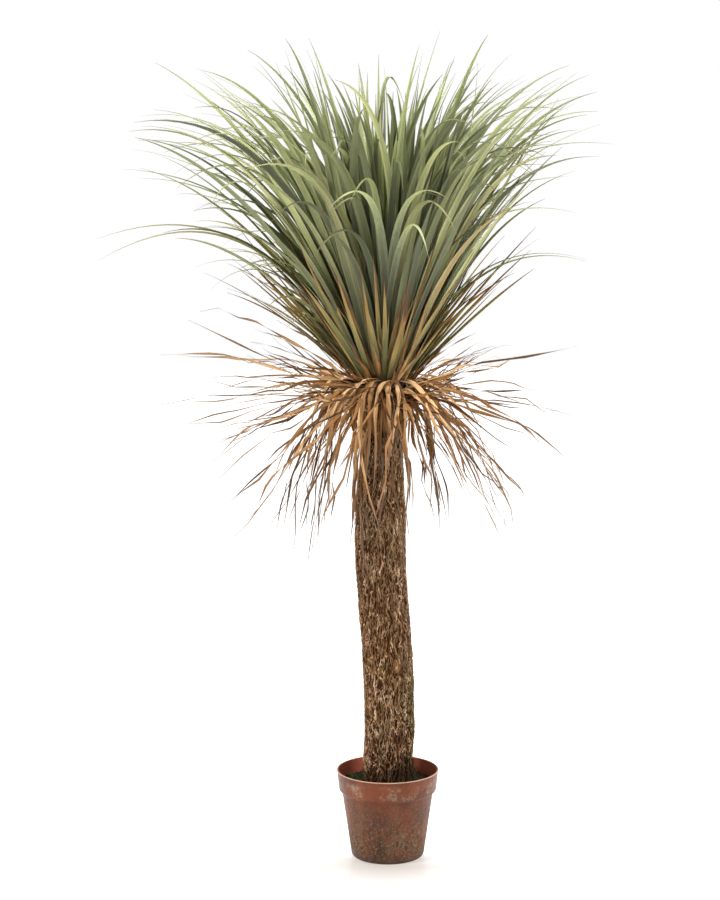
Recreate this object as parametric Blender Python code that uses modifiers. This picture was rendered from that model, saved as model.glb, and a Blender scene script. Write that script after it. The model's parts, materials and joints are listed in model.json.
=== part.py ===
"""Potted yucca: one rough trunk in a plastic nursery pot, a head of long arching leaves and a skirt of dried ones.

Run it with blender --background --python part.py, or from Blender's text editor.
Metres, +Z up. The origin is the middle of the pot's underside, and -Y is the side that faces the viewer.
"""

import math
import random

import bmesh
import bpy
from mathutils import Matrix, Vector

# Pot, a turned shell with a deep collar
POT_HEIGHT = 0.164
POT_RIM_RADIUS = 0.096
POT_COLLAR_HEIGHT = 0.038
POT_COLLAR_FOOT_RADIUS = 0.0915
POT_STEP_HEIGHT = 0.0045
POT_STEP_ROUNDING = 0.0015
POT_SHOULDER_RADIUS = 0.0855
POT_SHOULDER_DROP = 0.002
POT_FOOT_RADIUS = 0.068
POT_FOOT_BEVEL = 0.0015
POT_WALL = 0.0026
POT_FLOOR = 0.003
POT_LIP_RADIUS = 0.0018
POT_LIP_NECK = 0.0008
POT_LIP_STEPS = 3
POT_SIDES = 36
DRAIN_HOLES = 6
DRAIN_HOLE_RADIUS = 0.0045
DRAIN_CIRCLE_RADIUS = 0.044
DRAIN_SIDES = 12

# Soil, filled to a little under the rim
GAP = 0.0003
SOIL_DEPTH_UNDER_RIM = 0.025
SOIL_MOUND = 0.004
SOIL_LUMP = 0.0016
SOIL_RINGS = 5

# Trunk: how far its axis strays sideways and how thick it is, at heights up the stem
TRUNK_FOOT_Z = 0.030
TRUNK_TOP_Z = 0.900
TRUNK_FOOT_RADIUS = 0.0455
TRUNK_AXIS_X = (
    (0.03, 0.0),
    (0.10, 0.0),
    (0.15, 0.0),
    (0.26, 0.0038),
    (0.41, -0.0025),
    (0.53, -0.0120),
    (0.66, -0.0138),
    (0.74, -0.0120),
    (0.80, -0.0080),
    (0.90, -0.0080),
)
TRUNK_AXIS_Y = (
    (0.03, 0.0),
    (0.10, 0.0),
    (0.15, 0.0),
    (0.30, 0.0030),
    (0.50, 0.0080),
    (0.70, 0.0050),
    (0.80, 0.0),
    (0.90, 0.0),
)
TRUNK_RADIUS = (
    (0.03, 0.0455),
    (0.10, 0.0455),
    (0.15, 0.0455),
    (0.22, 0.0468),
    (0.52, 0.0466),
    (0.62, 0.0468),
    (0.68, 0.0452),
    (0.74, 0.0405),
    (0.80, 0.0385),
    (0.90, 0.0385),
)
TRUNK_SIDES = 36
TRUNK_RINGS = 24
BARK_RIDGES = 11
BARK_DEPTH = 0.0014
BARK_START_Z = 0.165
BARK_END_Z = 0.790
BARK_FADE = 0.03

# Heart of the head: the solid growing tip that the green leaves stand out of
HEART_CENTRE = Vector((-0.006, 0.0, 0.935))
HEART_RADIUS = 0.050
HEART_HALF_HEIGHT = 0.060
HEART_SIDES = 18
HEART_RINGS = 10
ROOT_SINK = 0.012

# Green leaves
GREEN_LEAVES = 114
GREEN_SEED = 12
GREEN_OUTER_POLAR = 112.0
GREEN_RISE = (88.0, 60.0)
GREEN_LEAN = 8.0
GREEN_CEILING = (1.350, 1.490)
GREEN_LENGTH = ((0.0, 0.53), (0.50, 0.72), (0.80, 0.62), (1.0, 0.46))
GREEN_DROOP = ((0.0, 10.0), (0.50, 62.0), (0.80, 62.0), (1.0, 40.0))
GREEN_DROOP_STRAY = 22.0
GREEN_SWAY = 20.0
GREEN_TWIST = 50.0
GREEN_BEND_AT = 0.66
BEND_AT = 0.56
LEAF_STATIONS = (0.0, 0.36, 0.63, 0.84, 1.0)
LEAF_HALF_WIDTH = 0.0125
LEAF_KEEL = 0.0026

# Green leaves that break the outline: azimuth, rise, length, droop and sway
STANDOUT_OUTER_RISE = 58.0
STANDOUT_LEAVES = (
    (182, 62, 0.71, 83, 1),
    (177, 62, 0.75, 93, 4),
    (190, 67, 0.65, 65, 0),
    (168, 67, 0.65, 67, 0),
    (180, 69, 0.655, 62, -3),
    (195, 73, 0.65, 68, 0),
    (160, 74, 0.69, 66, 2),
    (173, 78, 0.64, 57, 5),
    (205, 75, 0.59, 46, 0),
    (166, 84, 0.67, 63, 0),
    (200, 83, 0.60, 59, 0),
    (215, 75, 0.54, 14, 0),
    (192, 76, 0.55, 3, 0),
    (165, 80, 0.54, 3, 0),
    (188, 61, 0.435, 30, 0),
    (2, 79, 0.72, 86, 0),
    (352, 74, 0.61, 58, 1),
    (12, 77, 0.61, 54, -3),
    (346, 80, 0.605, 52, 0),
    (14, 86, 0.64, 62, 10),
    (345, 86, 0.59, 55, 0),
    (20, 86, 0.525, 22, 0),
    (335, 88, 0.56, 20, 0),
    (350, 78, 0.545, 78, 0),
    (6, 75, 0.56, 89, 0),
    (5, 64, 0.50, 80, 3),
    (257, 82, 0.61, 108, -5),
    (286, 88, 0.57, 107, 9),
    (279, 85, 0.59, 121, 7),
)

# Yellowing leaves, on a short sheath under the green ones
YELLOW_LEAVES = 26
YELLOW_SEED = 23
YELLOW_SHEATH = (0.8875, 0.8995)
YELLOW_SHEATH_RADIUS = 0.0460
YELLOW_RISE = (46.0, 60.0)
YELLOW_LENGTH = (0.24, 0.40)
YELLOW_HALF_WIDTH = 0.0080
YELLOW_DROOP = (-6.0, 20.0)
YELLOW_SWAY = 12.0
YELLOW_TRIES = 12
SHEATH_ROOT_SINK = 0.005

# Dried leaves, on a longer sheath round the neck
DRY_LEAVES = 102
DRY_SEED = 37
DRY_SHEATH = (0.832, 0.8872)
DRY_SHEATH_RADIUS = 0.0465
DRY_LEGS = (0.13, 0.27, 0.30, 0.30)
DRY_LENGTH = (0.22, 0.39)
DRY_SPREAD = (14.0, -88.0)
DRY_SPREAD_STRAY = 0.25
DRY_LEAN = 6.0
DRY_RISE_AT_ROOT = (14.0, 30.0)
DRY_TWIST = 70.0
DRY_ROOT_SINK = 0.006
DRY_CURL = 14.0
DRY_KINK = 13.0
DRY_STEEPEST_FALL = -88.0
DRY_HALF_WIDTH = 0.0056
DRY_KEEL = 0.0019
DRY_CLEAR_OF_TRUNK = 0.0125

FINE_STEPS = 14
ROOT_STEPS = 3
GOLDEN_ANGLE = math.radians(137.50776)
UP = Vector((0.0, 0.0, 1.0))

# Colour, roughness and metallic value of each material
FINISHES = {
    "terracotta_plastic": ((0.36, 0.115, 0.065), 0.62, 0.0),
    "potting_soil": ((0.030, 0.022, 0.016), 0.95, 0.0),
    "bark": ((0.170, 0.100, 0.052), 0.90, 0.0),
    "green_leaf": ((0.170, 0.200, 0.085), 0.50, 0.0),
    "yellowing_leaf": ((0.350, 0.210, 0.070), 0.60, 0.0),
    "dried_leaf": ((0.330, 0.180, 0.085), 0.75, 0.0),
}


def clear_scene():
    for old in list(bpy.data.objects):
        bpy.data.objects.remove(old, do_unlink=True)


def new_collection(name, shown=True):
    made = bpy.data.collections.new(name)
    bpy.context.scene.collection.children.link(made)
    made.hide_render = not shown
    return made


def finish(name):
    """The material of that name, with its colour, roughness and metallic value."""
    colour, roughness, metallic = FINISHES[name]
    made = bpy.data.materials.new(name)
    made.use_nodes = True
    shader = made.node_tree.nodes["Principled BSDF"]
    shader.inputs["Base Color"].default_value = (*colour, 1.0)
    shader.inputs["Roughness"].default_value = roughness
    shader.inputs["Metallic"].default_value = metallic
    return made


def add_object(name, mesh, collection, material=None):
    made = bpy.data.objects.new(name, mesh)
    collection.objects.link(made)
    if material:
        mesh.materials.append(finish(material))
    return made


def mesh_from(build, name):
    """A mesh made by a function that fills a bmesh."""
    bm = bmesh.new()
    build(bm)
    mesh = bpy.data.meshes.new(name)
    bm.to_mesh(mesh)
    bm.free()
    return mesh


def applied(obj, name):
    """The object with its modifiers applied, as a plain mesh."""
    bpy.context.view_layer.update()
    graph = bpy.context.evaluated_depsgraph_get()
    mesh = bpy.data.meshes.new_from_object(obj.evaluated_get(graph))
    mesh.name = name
    obj.modifiers.clear()
    obj.data = mesh
    return obj


def turned(name, profile, sides, collection, material, ring=False):
    """A turned solid: its outline of (radius, height) points ends on the Z axis, or closes on itself for a ring."""
    mesh = bpy.data.meshes.new(name)
    edges = [(i, i + 1) for i in range(len(profile) - 1)]
    if ring:
        edges.append((len(profile) - 1, 0))
    mesh.from_pydata([(r, 0.0, z) for r, z in profile], edges, [])
    made = add_object(name, mesh, collection)
    screw = made.modifiers.new("turn", "SCREW")
    screw.steps = sides
    screw.render_steps = sides
    screw.use_merge_vertices = True
    screw.merge_threshold = 0.00001
    applied(made, name)
    made.data.materials.append(finish(material))
    return made


def curve_through(table, at):
    """The value at a height, on a smooth curve through a table of (height, value), level where the table is."""
    at = min(max(at, table[0][0]), table[-1][0])
    i = max(k for k in range(len(table) - 1) if table[k][0] <= at or k == 0)
    (x0, y0), (x1, y1) = table[i], table[i + 1]
    before, after = table[max(i - 1, 0)], table[min(i + 2, len(table) - 1)]
    slope0 = 0.0 if y1 == y0 or before[1] == y0 else (y1 - before[1]) / (x1 - before[0])
    slope1 = 0.0 if y1 == y0 or after[1] == y1 else (after[1] - y0) / (after[0] - x0)
    t, span = (at - x0) / (x1 - x0), x1 - x0
    return (
        (2 * t**3 - 3 * t**2 + 1) * y0
        + (t**3 - 2 * t**2 + t) * span * slope0
        + (3 * t**2 - 2 * t**3) * y1
        + (t**3 - t**2) * span * slope1
    )


def smooth_step(low, high, value):
    t = min(max((value - low) / (high - low), 0.0), 1.0)
    return t * t * (3 - 2 * t)


def pot_outline():
    """(radius, height) down the outside of the pot, from the lip to the foot."""
    collar_foot = POT_HEIGHT - POT_COLLAR_HEIGHT
    return [
        (POT_RIM_RADIUS, POT_HEIGHT - POT_LIP_RADIUS),
        (POT_RIM_RADIUS - POT_LIP_NECK, POT_HEIGHT - 2.6 * POT_LIP_RADIUS),
        (POT_COLLAR_FOOT_RADIUS, collar_foot),
        (POT_COLLAR_FOOT_RADIUS - 0.002, collar_foot - POT_STEP_ROUNDING),
        (POT_SHOULDER_RADIUS + 0.001, collar_foot - 2 * POT_STEP_ROUNDING),
        (POT_SHOULDER_RADIUS, collar_foot - POT_STEP_HEIGHT - POT_SHOULDER_DROP),
        (POT_FOOT_RADIUS, POT_FOOT_BEVEL),
    ]


def pot_inner_radius(z):
    """The radius of the pot's inner wall at a height."""
    wall = sorted((h, r - POT_WALL) for r, h in pot_outline()[1:])
    for (h0, r0), (h1, r1) in zip(wall, wall[1:]):
        if z <= h1:
            return r0 + (r1 - r0) * (z - h0) / (h1 - h0)
    return wall[-1][1]


def build_pot(collection, cutters):
    """The pot's shell, with drain holes cut through its floor."""
    inside = [(r - POT_WALL, h) for r, h in reversed(pot_outline()[1:-1])]
    lip_centre = POT_RIM_RADIUS - POT_LIP_RADIUS
    lip = []
    for k in range(POT_LIP_STEPS + 1):
        turn = math.pi * (1 - k / POT_LIP_STEPS)
        lip.append((lip_centre + POT_LIP_RADIUS * math.cos(turn), POT_HEIGHT - POT_LIP_RADIUS * (1 - math.sin(turn))))
    floor_edge = (pot_inner_radius(POT_FLOOR), POT_FLOOR)
    foot_edge = (POT_FOOT_RADIUS - POT_FOOT_BEVEL, 0.0)
    profile = [(0.0, POT_FLOOR), floor_edge, *inside, *lip, *pot_outline()[1:], foot_edge, (0.0, 0.0)]
    pot = turned("pot", profile, POT_SIDES, collection, "terracotta_plastic")
    for k in range(DRAIN_HOLES):
        angle = 2 * math.pi * k / DRAIN_HOLES
        bpy.ops.mesh.primitive_cylinder_add(
            vertices=DRAIN_SIDES,
            radius=DRAIN_HOLE_RADIUS,
            depth=4 * POT_FLOOR,
            location=(DRAIN_CIRCLE_RADIUS * math.cos(angle), DRAIN_CIRCLE_RADIUS * math.sin(angle), POT_FLOOR / 2),
        )
        drill = bpy.context.active_object
        drill.name = f"drain_drill_{k + 1}"
        drill.display_type = "WIRE"
        drill.hide_render = True
        for home in list(drill.users_collection):
            home.objects.unlink(drill)
        cutters.objects.link(drill)
    cut = pot.modifiers.new("drain holes", "BOOLEAN")
    cut.operation = "DIFFERENCE"
    cut.operand_type = "COLLECTION"
    cut.collection = cutters
    cut.solver = "EXACT"
    return pot


def build_soil(collection):
    """The potting soil, with a plain blind hole that the trunk stands in and a lumpy top."""
    top = POT_HEIGHT - SOIL_DEPTH_UNDER_RIM
    hole = TRUNK_FOOT_RADIUS + GAP
    hole_floor = TRUNK_FOOT_Z - GAP
    bottom = POT_FLOOR + GAP
    rim = pot_inner_radius(top) - 2 * GAP
    profile = [(0.0, hole_floor), (hole, hole_floor)]
    for k in range(SOIL_RINGS + 1):
        share = k / SOIL_RINGS
        profile.append((hole + (rim - hole) * share, top + SOIL_MOUND * (1 - share) ** 2))
    shoulder = POT_HEIGHT - POT_COLLAR_HEIGHT - POT_STEP_HEIGHT - POT_SHOULDER_DROP
    profile.append((pot_inner_radius(shoulder) - 2 * GAP, shoulder))
    profile.append((pot_inner_radius(bottom) - 2 * GAP, bottom))
    profile.append((0.0, bottom))
    soil = turned("soil", profile, TRUNK_SIDES, collection, "potting_soil")
    for vertex in soil.data.vertices:
        x, y, z = vertex.co
        radius = math.hypot(x, y)
        if z > top - GAP and radius > hole + GAP:
            lump = math.sin(190 * x + 60 * y) * math.cos(150 * y - 70 * x) + 0.6 * math.sin(310 * y + 40)
            vertex.co.z += SOIL_LUMP * lump
    return soil


def ringed(bm, sides, tip_radius, stations):
    """A unit cone or cylinder that stands on Z from 0 to 1, cut into rings at the stations between."""
    bmesh.ops.create_cone(
        bm,
        cap_ends=True,
        segments=sides,
        radius1=1.0,
        radius2=tip_radius,
        depth=1.0,
        matrix=Matrix.Translation((0.0, 0.0, 0.5)),
    )
    for height in stations[1:-1]:
        everything = bm.verts[:] + bm.edges[:] + bm.faces[:]
        bmesh.ops.bisect_plane(bm, geom=everything, dist=1e-6, plane_co=(0.0, 0.0, height), plane_no=UP)


def trunk_centre(z):
    return Vector((curve_through(TRUNK_AXIS_X, z), curve_through(TRUNK_AXIS_Y, z), z))


def bark_relief(angle, z):
    """How far the bark stands out: wavy upright ridges that die out in the soil and under the dried leaves."""
    wander = 1.6 * math.sin(31 * z + 2 * angle) + 0.9 * math.sin(57 * z - 3 * angle)
    ridge = math.sin(BARK_RIDGES * angle + wander)
    lump = 0.7 * math.sin(2 * angle + 23 * z) + 0.5 * math.sin(3 * angle - 41 * z)
    fade = smooth_step(BARK_START_Z, BARK_START_Z + BARK_FADE, z)
    fade *= 1 - smooth_step(BARK_END_Z - BARK_FADE, BARK_END_Z, z)
    return BARK_DEPTH * (ridge + lump) * fade


def build_trunk(collection):
    """The stem, from its foot in the soil to the growing tip."""
    stations = [k / TRUNK_RINGS for k in range(TRUNK_RINGS + 1)]
    mesh = mesh_from(lambda bm: ringed(bm, TRUNK_SIDES, 1.0, stations), "trunk")
    for vertex in mesh.vertices:
        z = TRUNK_FOOT_Z + (TRUNK_TOP_Z - TRUNK_FOOT_Z) * vertex.co.z
        angle = math.atan2(vertex.co.y, vertex.co.x)
        radius = curve_through(TRUNK_RADIUS, z) + bark_relief(angle, z)
        vertex.co = trunk_centre(z) + radius * Vector((math.cos(angle), math.sin(angle), 0.0))
    mesh.shade_smooth()
    return add_object("trunk", mesh, collection, "bark")


def direction(azimuth, rise):
    """The unit vector at an azimuth and a rise above the horizon, both in degrees. Azimuth 0 is +X, 90 is +Y."""
    a, e = math.radians(azimuth), math.radians(rise)
    return Vector((math.cos(e) * math.cos(a), math.cos(e) * math.sin(a), math.sin(e)))


def arched(root, azimuth, rise, length, droop, sway, bend_at, stations):
    """Points along a leaf that leaves its root straight and then bends over, with the side it arches to."""
    bend = root + direction(azimuth, rise) * length * bend_at
    tip = bend + direction(azimuth + sway, rise - droop) * length * (1 - bend_at)
    return [root * (1 - t) ** 2 + bend * 2 * t * (1 - t) + tip * t**2 for t in stations]


def leaf_width(t):
    """The share of a leaf's full width at t along it: waisted at the root, drawn out to a fine tip."""
    return min(1.0, 0.62 + 1.3 * t) * (1 - t**1.7)


def keel_share(t):
    return (1 - 0.45 * t) * (1 - t**6)


def blade(name, template, points, stations, azimuth, half_width, keel, twist, collection):
    """One leaf: the three-sided template bent along its points, flat above and keeled below."""
    across = direction(azimuth + 90, 0)
    mesh = template.copy()
    for vertex in mesh.vertices:
        t = vertex.co.z
        k = min(range(len(stations)), key=lambda n: abs(stations[n] - t))
        along = (points[min(k + 1, len(points) - 1)] - points[max(k - 1, 0)]).normalized()
        side = (across - along * across.dot(along)).normalized()
        side.rotate(Matrix.Rotation(math.radians(twist) * t, 3, along))
        above = side.cross(along)
        if k == len(stations) - 1:
            vertex.co = points[k]
            continue
        corner = math.atan2(vertex.co.y, vertex.co.x)
        sideways = math.cos(corner) / math.cos(math.radians(30))
        below = max(0.0, math.sin(corner) + 0.5) / 1.5
        offset = side * sideways * half_width * leaf_width(t)
        vertex.co = points[k] + offset - above * below * keel * keel_share(t)
    split_outwards(mesh)
    return add_object(name, mesh, collection)


def split_outwards(mesh):
    """Splits each bent four-sided face along the diagonal that stands further out, so no two faces cross."""
    bm = bmesh.new()
    bm.from_mesh(mesh)
    bm.normal_update()
    for face in [f for f in bm.faces if len(f.verts) == 4]:
        a, b, c, d = face.verts
        if (a.co + c.co - b.co - d.co).dot(face.normal) > 0.0:
            bmesh.utils.face_split(face, a, c)
        else:
            bmesh.utils.face_split(face, b, d)
    bm.to_mesh(mesh)
    bm.free()


def heart_root(azimuth, polar):
    """A point just inside the heart's surface, at an angle down from its top."""
    a, p = math.radians(azimuth), math.radians(polar)
    reach = HEART_RADIUS * math.sin(p)
    return HEART_CENTRE + Vector((reach * math.cos(a), reach * math.sin(a), HEART_HALF_HEIGHT * math.cos(p)))


def green_leaf_shapes():
    """(root, azimuth, rise, length, droop, sway, bend, half width, twist) of each green leaf, from the inmost out."""
    draw = random.Random(GREEN_SEED)
    lowest = math.cos(math.radians(GREEN_OUTER_POLAR))
    shapes = []
    for k in range(GREEN_LEAVES):
        age = (k + 0.5) / GREEN_LEAVES
        polar = math.degrees(math.acos(1 - (1 - lowest) * age))
        azimuth = math.degrees(k * GOLDEN_ANGLE) % 360 + draw.uniform(-4, 4)
        lean = GREEN_LEAN * age * math.cos(math.radians(azimuth))
        rise = mix(GREEN_RISE, age**0.9) + lean + draw.uniform(-3, 3)
        length = curve_through(GREEN_LENGTH, age) + draw.uniform(-0.06, 0.02)
        droop = curve_through(GREEN_DROOP, age) + draw.uniform(-GREEN_DROOP_STRAY, GREEN_DROOP_STRAY)
        sway = draw.uniform(-GREEN_SWAY, GREEN_SWAY)
        half_width = LEAF_HALF_WIDTH * draw.uniform(0.86, 1.1)
        twist = draw.uniform(-GREEN_TWIST, GREEN_TWIST)
        root = heart_root(azimuth, polar) - direction(azimuth, rise) * ROOT_SINK
        tip_rise = math.radians(rise - droop)
        reach = GREEN_BEND_AT * math.sin(math.radians(rise)) + (1 - GREEN_BEND_AT) * math.sin(tip_rise)
        length = min(length, (draw.uniform(*GREEN_CEILING) - root.z) / reach)
        shapes.append((root, azimuth, rise, length, droop, sway, GREEN_BEND_AT, half_width, twist))
    for azimuth, rise, length, droop, sway in STANDOUT_LEAVES:
        polar = GREEN_OUTER_POLAR * min(1.0, (90 - rise) / (90 - STANDOUT_OUTER_RISE))
        root = heart_root(azimuth, polar) - direction(azimuth, rise) * ROOT_SINK
        shapes.append((root, azimuth, rise, length, droop, sway, BEND_AT, LEAF_HALF_WIDTH, 0.0))
    return shapes


def mix(pair, share):
    """The value a share of the way from the pair's first to its second."""
    return pair[0] + (pair[1] - pair[0]) * share


def nearest(points, others):
    """The shortest distance from any of the points to any of the others."""
    return min((p - q).length for p in points for q in others)


def fuse(core, pieces):
    """Joins a collection of pieces to their core in one union, and removes the pieces."""
    join = core.modifiers.new("join", "BOOLEAN")
    join.operation = "UNION"
    join.operand_type = "COLLECTION"
    join.collection = pieces
    join.solver = "MANIFOLD"
    applied(core, core.name)
    for piece in list(pieces.objects):
        bpy.data.objects.remove(piece, do_unlink=True)
    bpy.data.collections.remove(pieces)
    keep_outer_shell(core.data)
    return core


def keep_outer_shell(mesh):
    """Fills what the union sealed and drops what it left loose: only the largest run of joined faces stays."""
    bm = bmesh.new()
    bm.from_mesh(mesh)
    left, shells = set(bm.faces), []
    while left:
        shell, todo = set(), [left.pop()]
        while todo:
            face = todo.pop()
            shell.add(face)
            near = {other for edge in face.edges for other in edge.link_faces} & left
            left -= near
            todo.extend(near)
        shells.append(shell)
    shells.sort(key=len)
    for shell in shells[:-1]:
        bmesh.ops.delete(bm, geom=list(shell), context="FACES")
    bm.to_mesh(mesh)
    bm.free()


def build_green_head(collection):
    """The living head: the heart and every green leaf, fused."""
    bpy.ops.mesh.primitive_uv_sphere_add(segments=HEART_SIDES, ring_count=HEART_RINGS)
    heart = bpy.context.active_object
    heart.name = "green_leaves"
    for home in list(heart.users_collection):
        home.objects.unlink(heart)
    collection.objects.link(heart)
    floor = TRUNK_TOP_Z + GAP
    for vertex in heart.data.vertices:
        x, y, z = vertex.co
        size = Vector((HEART_RADIUS * x, HEART_RADIUS * y, HEART_HALF_HEIGHT * z))
        vertex.co = HEART_CENTRE + size
        vertex.co.z = max(vertex.co.z, floor)
    heart.data.materials.append(finish("green_leaf"))
    flatten_floor(heart.data, floor)
    template = mesh_from(lambda bm: ringed(bm, 3, 0.0, LEAF_STATIONS), "leaf template")
    leaves = new_collection("green leaves to fuse")
    for k, shape in enumerate(green_leaf_shapes()):
        azimuth, half_width, twist = shape[1], shape[7], shape[8]
        points = arched(*shape[:7], LEAF_STATIONS)
        name = f"green_leaf_{k + 1:03d}"
        blade(name, template, points, LEAF_STATIONS, azimuth, half_width, LEAF_KEEL, twist, leaves)
    return fuse(heart, leaves)


def flatten_floor(mesh, floor):
    """Closes a shape that was pressed flat on its floor with one clean face."""
    bm = bmesh.new()
    bm.from_mesh(mesh)
    flat = [f for f in bm.faces if all(abs(v.co.z - floor) < 1e-6 for v in f.verts)]
    bmesh.ops.dissolve_faces(bm, faces=flat)
    bm.to_mesh(mesh)
    bm.free()


def build_sheath(name, span, radius, collection, material):
    """The ring of old leaf bases that clasps the trunk's neck between two heights."""
    low, high = span
    centre = trunk_centre(low)
    inner = curve_through(TRUNK_RADIUS, low) + GAP
    profile = [(inner, low), (inner, high), (radius, high), (radius, low)]
    sheath = turned(name, profile, TRUNK_SIDES, collection, material, ring=True)
    for vertex in sheath.data.vertices:
        vertex.co += Vector((centre.x, centre.y, 0.0))
    return sheath


def build_yellow_leaves(collection):
    """Leaves that are starting to die back, in a loose layer under the green head and clear of its leaves."""
    low, high = YELLOW_SHEATH
    sheath = build_sheath("yellowing_leaves", YELLOW_SHEATH, YELLOW_SHEATH_RADIUS, collection, "yellowing_leaf")
    template = mesh_from(lambda bm: ringed(bm, 3, 0.0, LEAF_STATIONS), "yellow template")
    leaves = new_collection("yellowing leaves to fuse")
    draw = random.Random(YELLOW_SEED)
    centre = trunk_centre((low + high) / 2)
    fine = [k / FINE_STEPS for k in range(FINE_STEPS + 1)]
    outer_green = green_leaf_shapes()[GREEN_LEAVES // 3 :]
    green = [point for shape in outer_green for point in arched(*shape[:7], fine)[ROOT_STEPS:]]
    for k in range(YELLOW_LEAVES):
        tries = []
        for _ in range(YELLOW_TRIES):
            azimuth = math.degrees(k * GOLDEN_ANGLE) % 360 + draw.uniform(-8, 8)
            rise = draw.uniform(*YELLOW_RISE)
            length = draw.uniform(*YELLOW_LENGTH)
            droop = draw.uniform(*YELLOW_DROOP)
            sway = draw.uniform(-YELLOW_SWAY, YELLOW_SWAY)
            root = centre + direction(azimuth, 0) * (YELLOW_SHEATH_RADIUS - SHEATH_ROOT_SINK)
            line = arched(root, azimuth, rise, length, droop, sway, BEND_AT, fine)
            tries.append((nearest(line[ROOT_STEPS:], green), azimuth, rise, length, droop, sway, root))
        azimuth, rise, length, droop, sway, root = max(tries, key=lambda one: one[0])[1:]
        half_width = YELLOW_HALF_WIDTH * draw.uniform(0.8, 1.1)
        twist = draw.uniform(-GREEN_TWIST, GREEN_TWIST)
        points = arched(root, azimuth, rise, length, droop, sway, BEND_AT, LEAF_STATIONS)
        name = f"yellow_leaf_{k + 1:02d}"
        blade(name, template, points, LEAF_STATIONS, azimuth, half_width, DRY_KEEL, twist, leaves)
    return fuse(sheath, leaves)


def crumpled(root, azimuth, slope, length, draw):
    """Points along a dried leaf: a short rise off the sheath, then straight legs between kinks along its slope."""
    points = [root, root + direction(azimuth, draw.uniform(*DRY_RISE_AT_ROOT)) * length * DRY_LEGS[0]]
    turn, gone = azimuth, DRY_LEGS[0]
    for leg in DRY_LEGS[1:]:
        rise = slope + DRY_CURL * (0.6 - gone) + draw.uniform(-DRY_KINK, DRY_KINK)
        turn += draw.uniform(-DRY_KINK, DRY_KINK)
        step = direction(turn, max(DRY_STEEPEST_FALL, rise)) * length * leg
        points.append(clear_of_trunk(points[-1] + step))
        gone += leg
    return points


def clear_of_trunk(point):
    """The point moved straight out from the trunk's axis if it lies too near the bark."""
    centre = trunk_centre(point.z)
    out = (point - centre).to_2d()
    reach = curve_through(TRUNK_RADIUS, point.z) + DRY_CLEAR_OF_TRUNK
    if out.length < reach:
        out = out.normalized() * reach
    return Vector((centre.x + out.x, centre.y + out.y, point.z))


def build_dry_leaves(collection):
    """The skirt of dead leaves, kinked and flung out or hanging down the trunk."""
    low, high = DRY_SHEATH
    sheath = build_sheath("dried_leaves", DRY_SHEATH, DRY_SHEATH_RADIUS, collection, "dried_leaf")
    stations = [sum(DRY_LEGS[:k]) for k in range(len(DRY_LEGS))] + [1.0]
    template = mesh_from(lambda bm: ringed(bm, 3, 0.0, stations), "dry template")
    leaves = new_collection("dried leaves to fuse")
    draw = random.Random(DRY_SEED)
    for k in range(DRY_LEAVES):
        age = (k + 0.5) / DRY_LEAVES
        azimuth = math.degrees(k * GOLDEN_ANGLE) % 360 + draw.uniform(-5, 5)
        stray = draw.uniform(-DRY_SPREAD_STRAY, DRY_SPREAD_STRAY)
        slope = mix(DRY_SPREAD, min(1.0, max(0.0, age + stray)))
        slope -= DRY_LEAN * math.cos(math.radians(azimuth))
        length = draw.uniform(*DRY_LENGTH)
        half_width = DRY_HALF_WIDTH * draw.uniform(0.7, 1.2)
        twist = draw.uniform(-DRY_TWIST, DRY_TWIST)
        height = mix((high - DRY_ROOT_SINK, low + DRY_ROOT_SINK), age)
        root = trunk_centre(height) + direction(azimuth, 0) * (DRY_SHEATH_RADIUS - DRY_ROOT_SINK)
        points = crumpled(root, azimuth, slope, length, draw)
        name = f"dry_leaf_{k + 1:03d}"
        blade(name, template, points, stations, azimuth, half_width, DRY_KEEL, twist, leaves)
    return fuse(sheath, leaves)


def main():
    clear_scene()
    yucca = new_collection("potted_yucca")
    cutters = new_collection("cutters", shown=False)
    build_pot(yucca, cutters)
    build_soil(yucca)
    build_trunk(yucca)
    build_green_head(yucca)
    build_yellow_leaves(yucca)
    build_dry_leaves(yucca)


main()
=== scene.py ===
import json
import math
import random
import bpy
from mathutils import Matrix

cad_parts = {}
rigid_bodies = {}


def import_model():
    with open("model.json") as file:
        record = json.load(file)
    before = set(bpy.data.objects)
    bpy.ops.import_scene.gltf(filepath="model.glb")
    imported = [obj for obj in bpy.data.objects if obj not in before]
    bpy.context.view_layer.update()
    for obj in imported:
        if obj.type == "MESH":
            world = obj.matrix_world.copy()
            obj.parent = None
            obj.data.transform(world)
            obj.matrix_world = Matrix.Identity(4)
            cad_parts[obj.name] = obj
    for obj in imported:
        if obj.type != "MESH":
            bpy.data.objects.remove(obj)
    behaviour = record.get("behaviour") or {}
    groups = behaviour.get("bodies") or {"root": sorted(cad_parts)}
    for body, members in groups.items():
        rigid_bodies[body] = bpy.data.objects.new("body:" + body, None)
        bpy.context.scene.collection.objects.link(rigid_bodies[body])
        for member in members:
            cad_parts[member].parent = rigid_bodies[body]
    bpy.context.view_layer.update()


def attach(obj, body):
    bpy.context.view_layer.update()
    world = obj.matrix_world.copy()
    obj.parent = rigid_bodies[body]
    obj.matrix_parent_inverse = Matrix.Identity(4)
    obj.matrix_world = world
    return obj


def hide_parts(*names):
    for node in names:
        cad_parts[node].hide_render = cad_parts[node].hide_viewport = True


bl_info = {
    "name": "Potted Yucca",
    "version": (1, 0, 0),
    "blender": (4, 5, 0),
    "location": "View3D > Sidebar > Yucca",
    "description": "A stained pot, soil and moss, a fibrous trunk, and living, yellowing and dried leaves",
    "category": "Object",
}

import bmesh
import bpy
from mathutils import Matrix, Vector

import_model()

UP = Vector((0.0, 0.0, 1.0))
GOLDEN_ANGLE = math.radians(137.50776)

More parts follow.
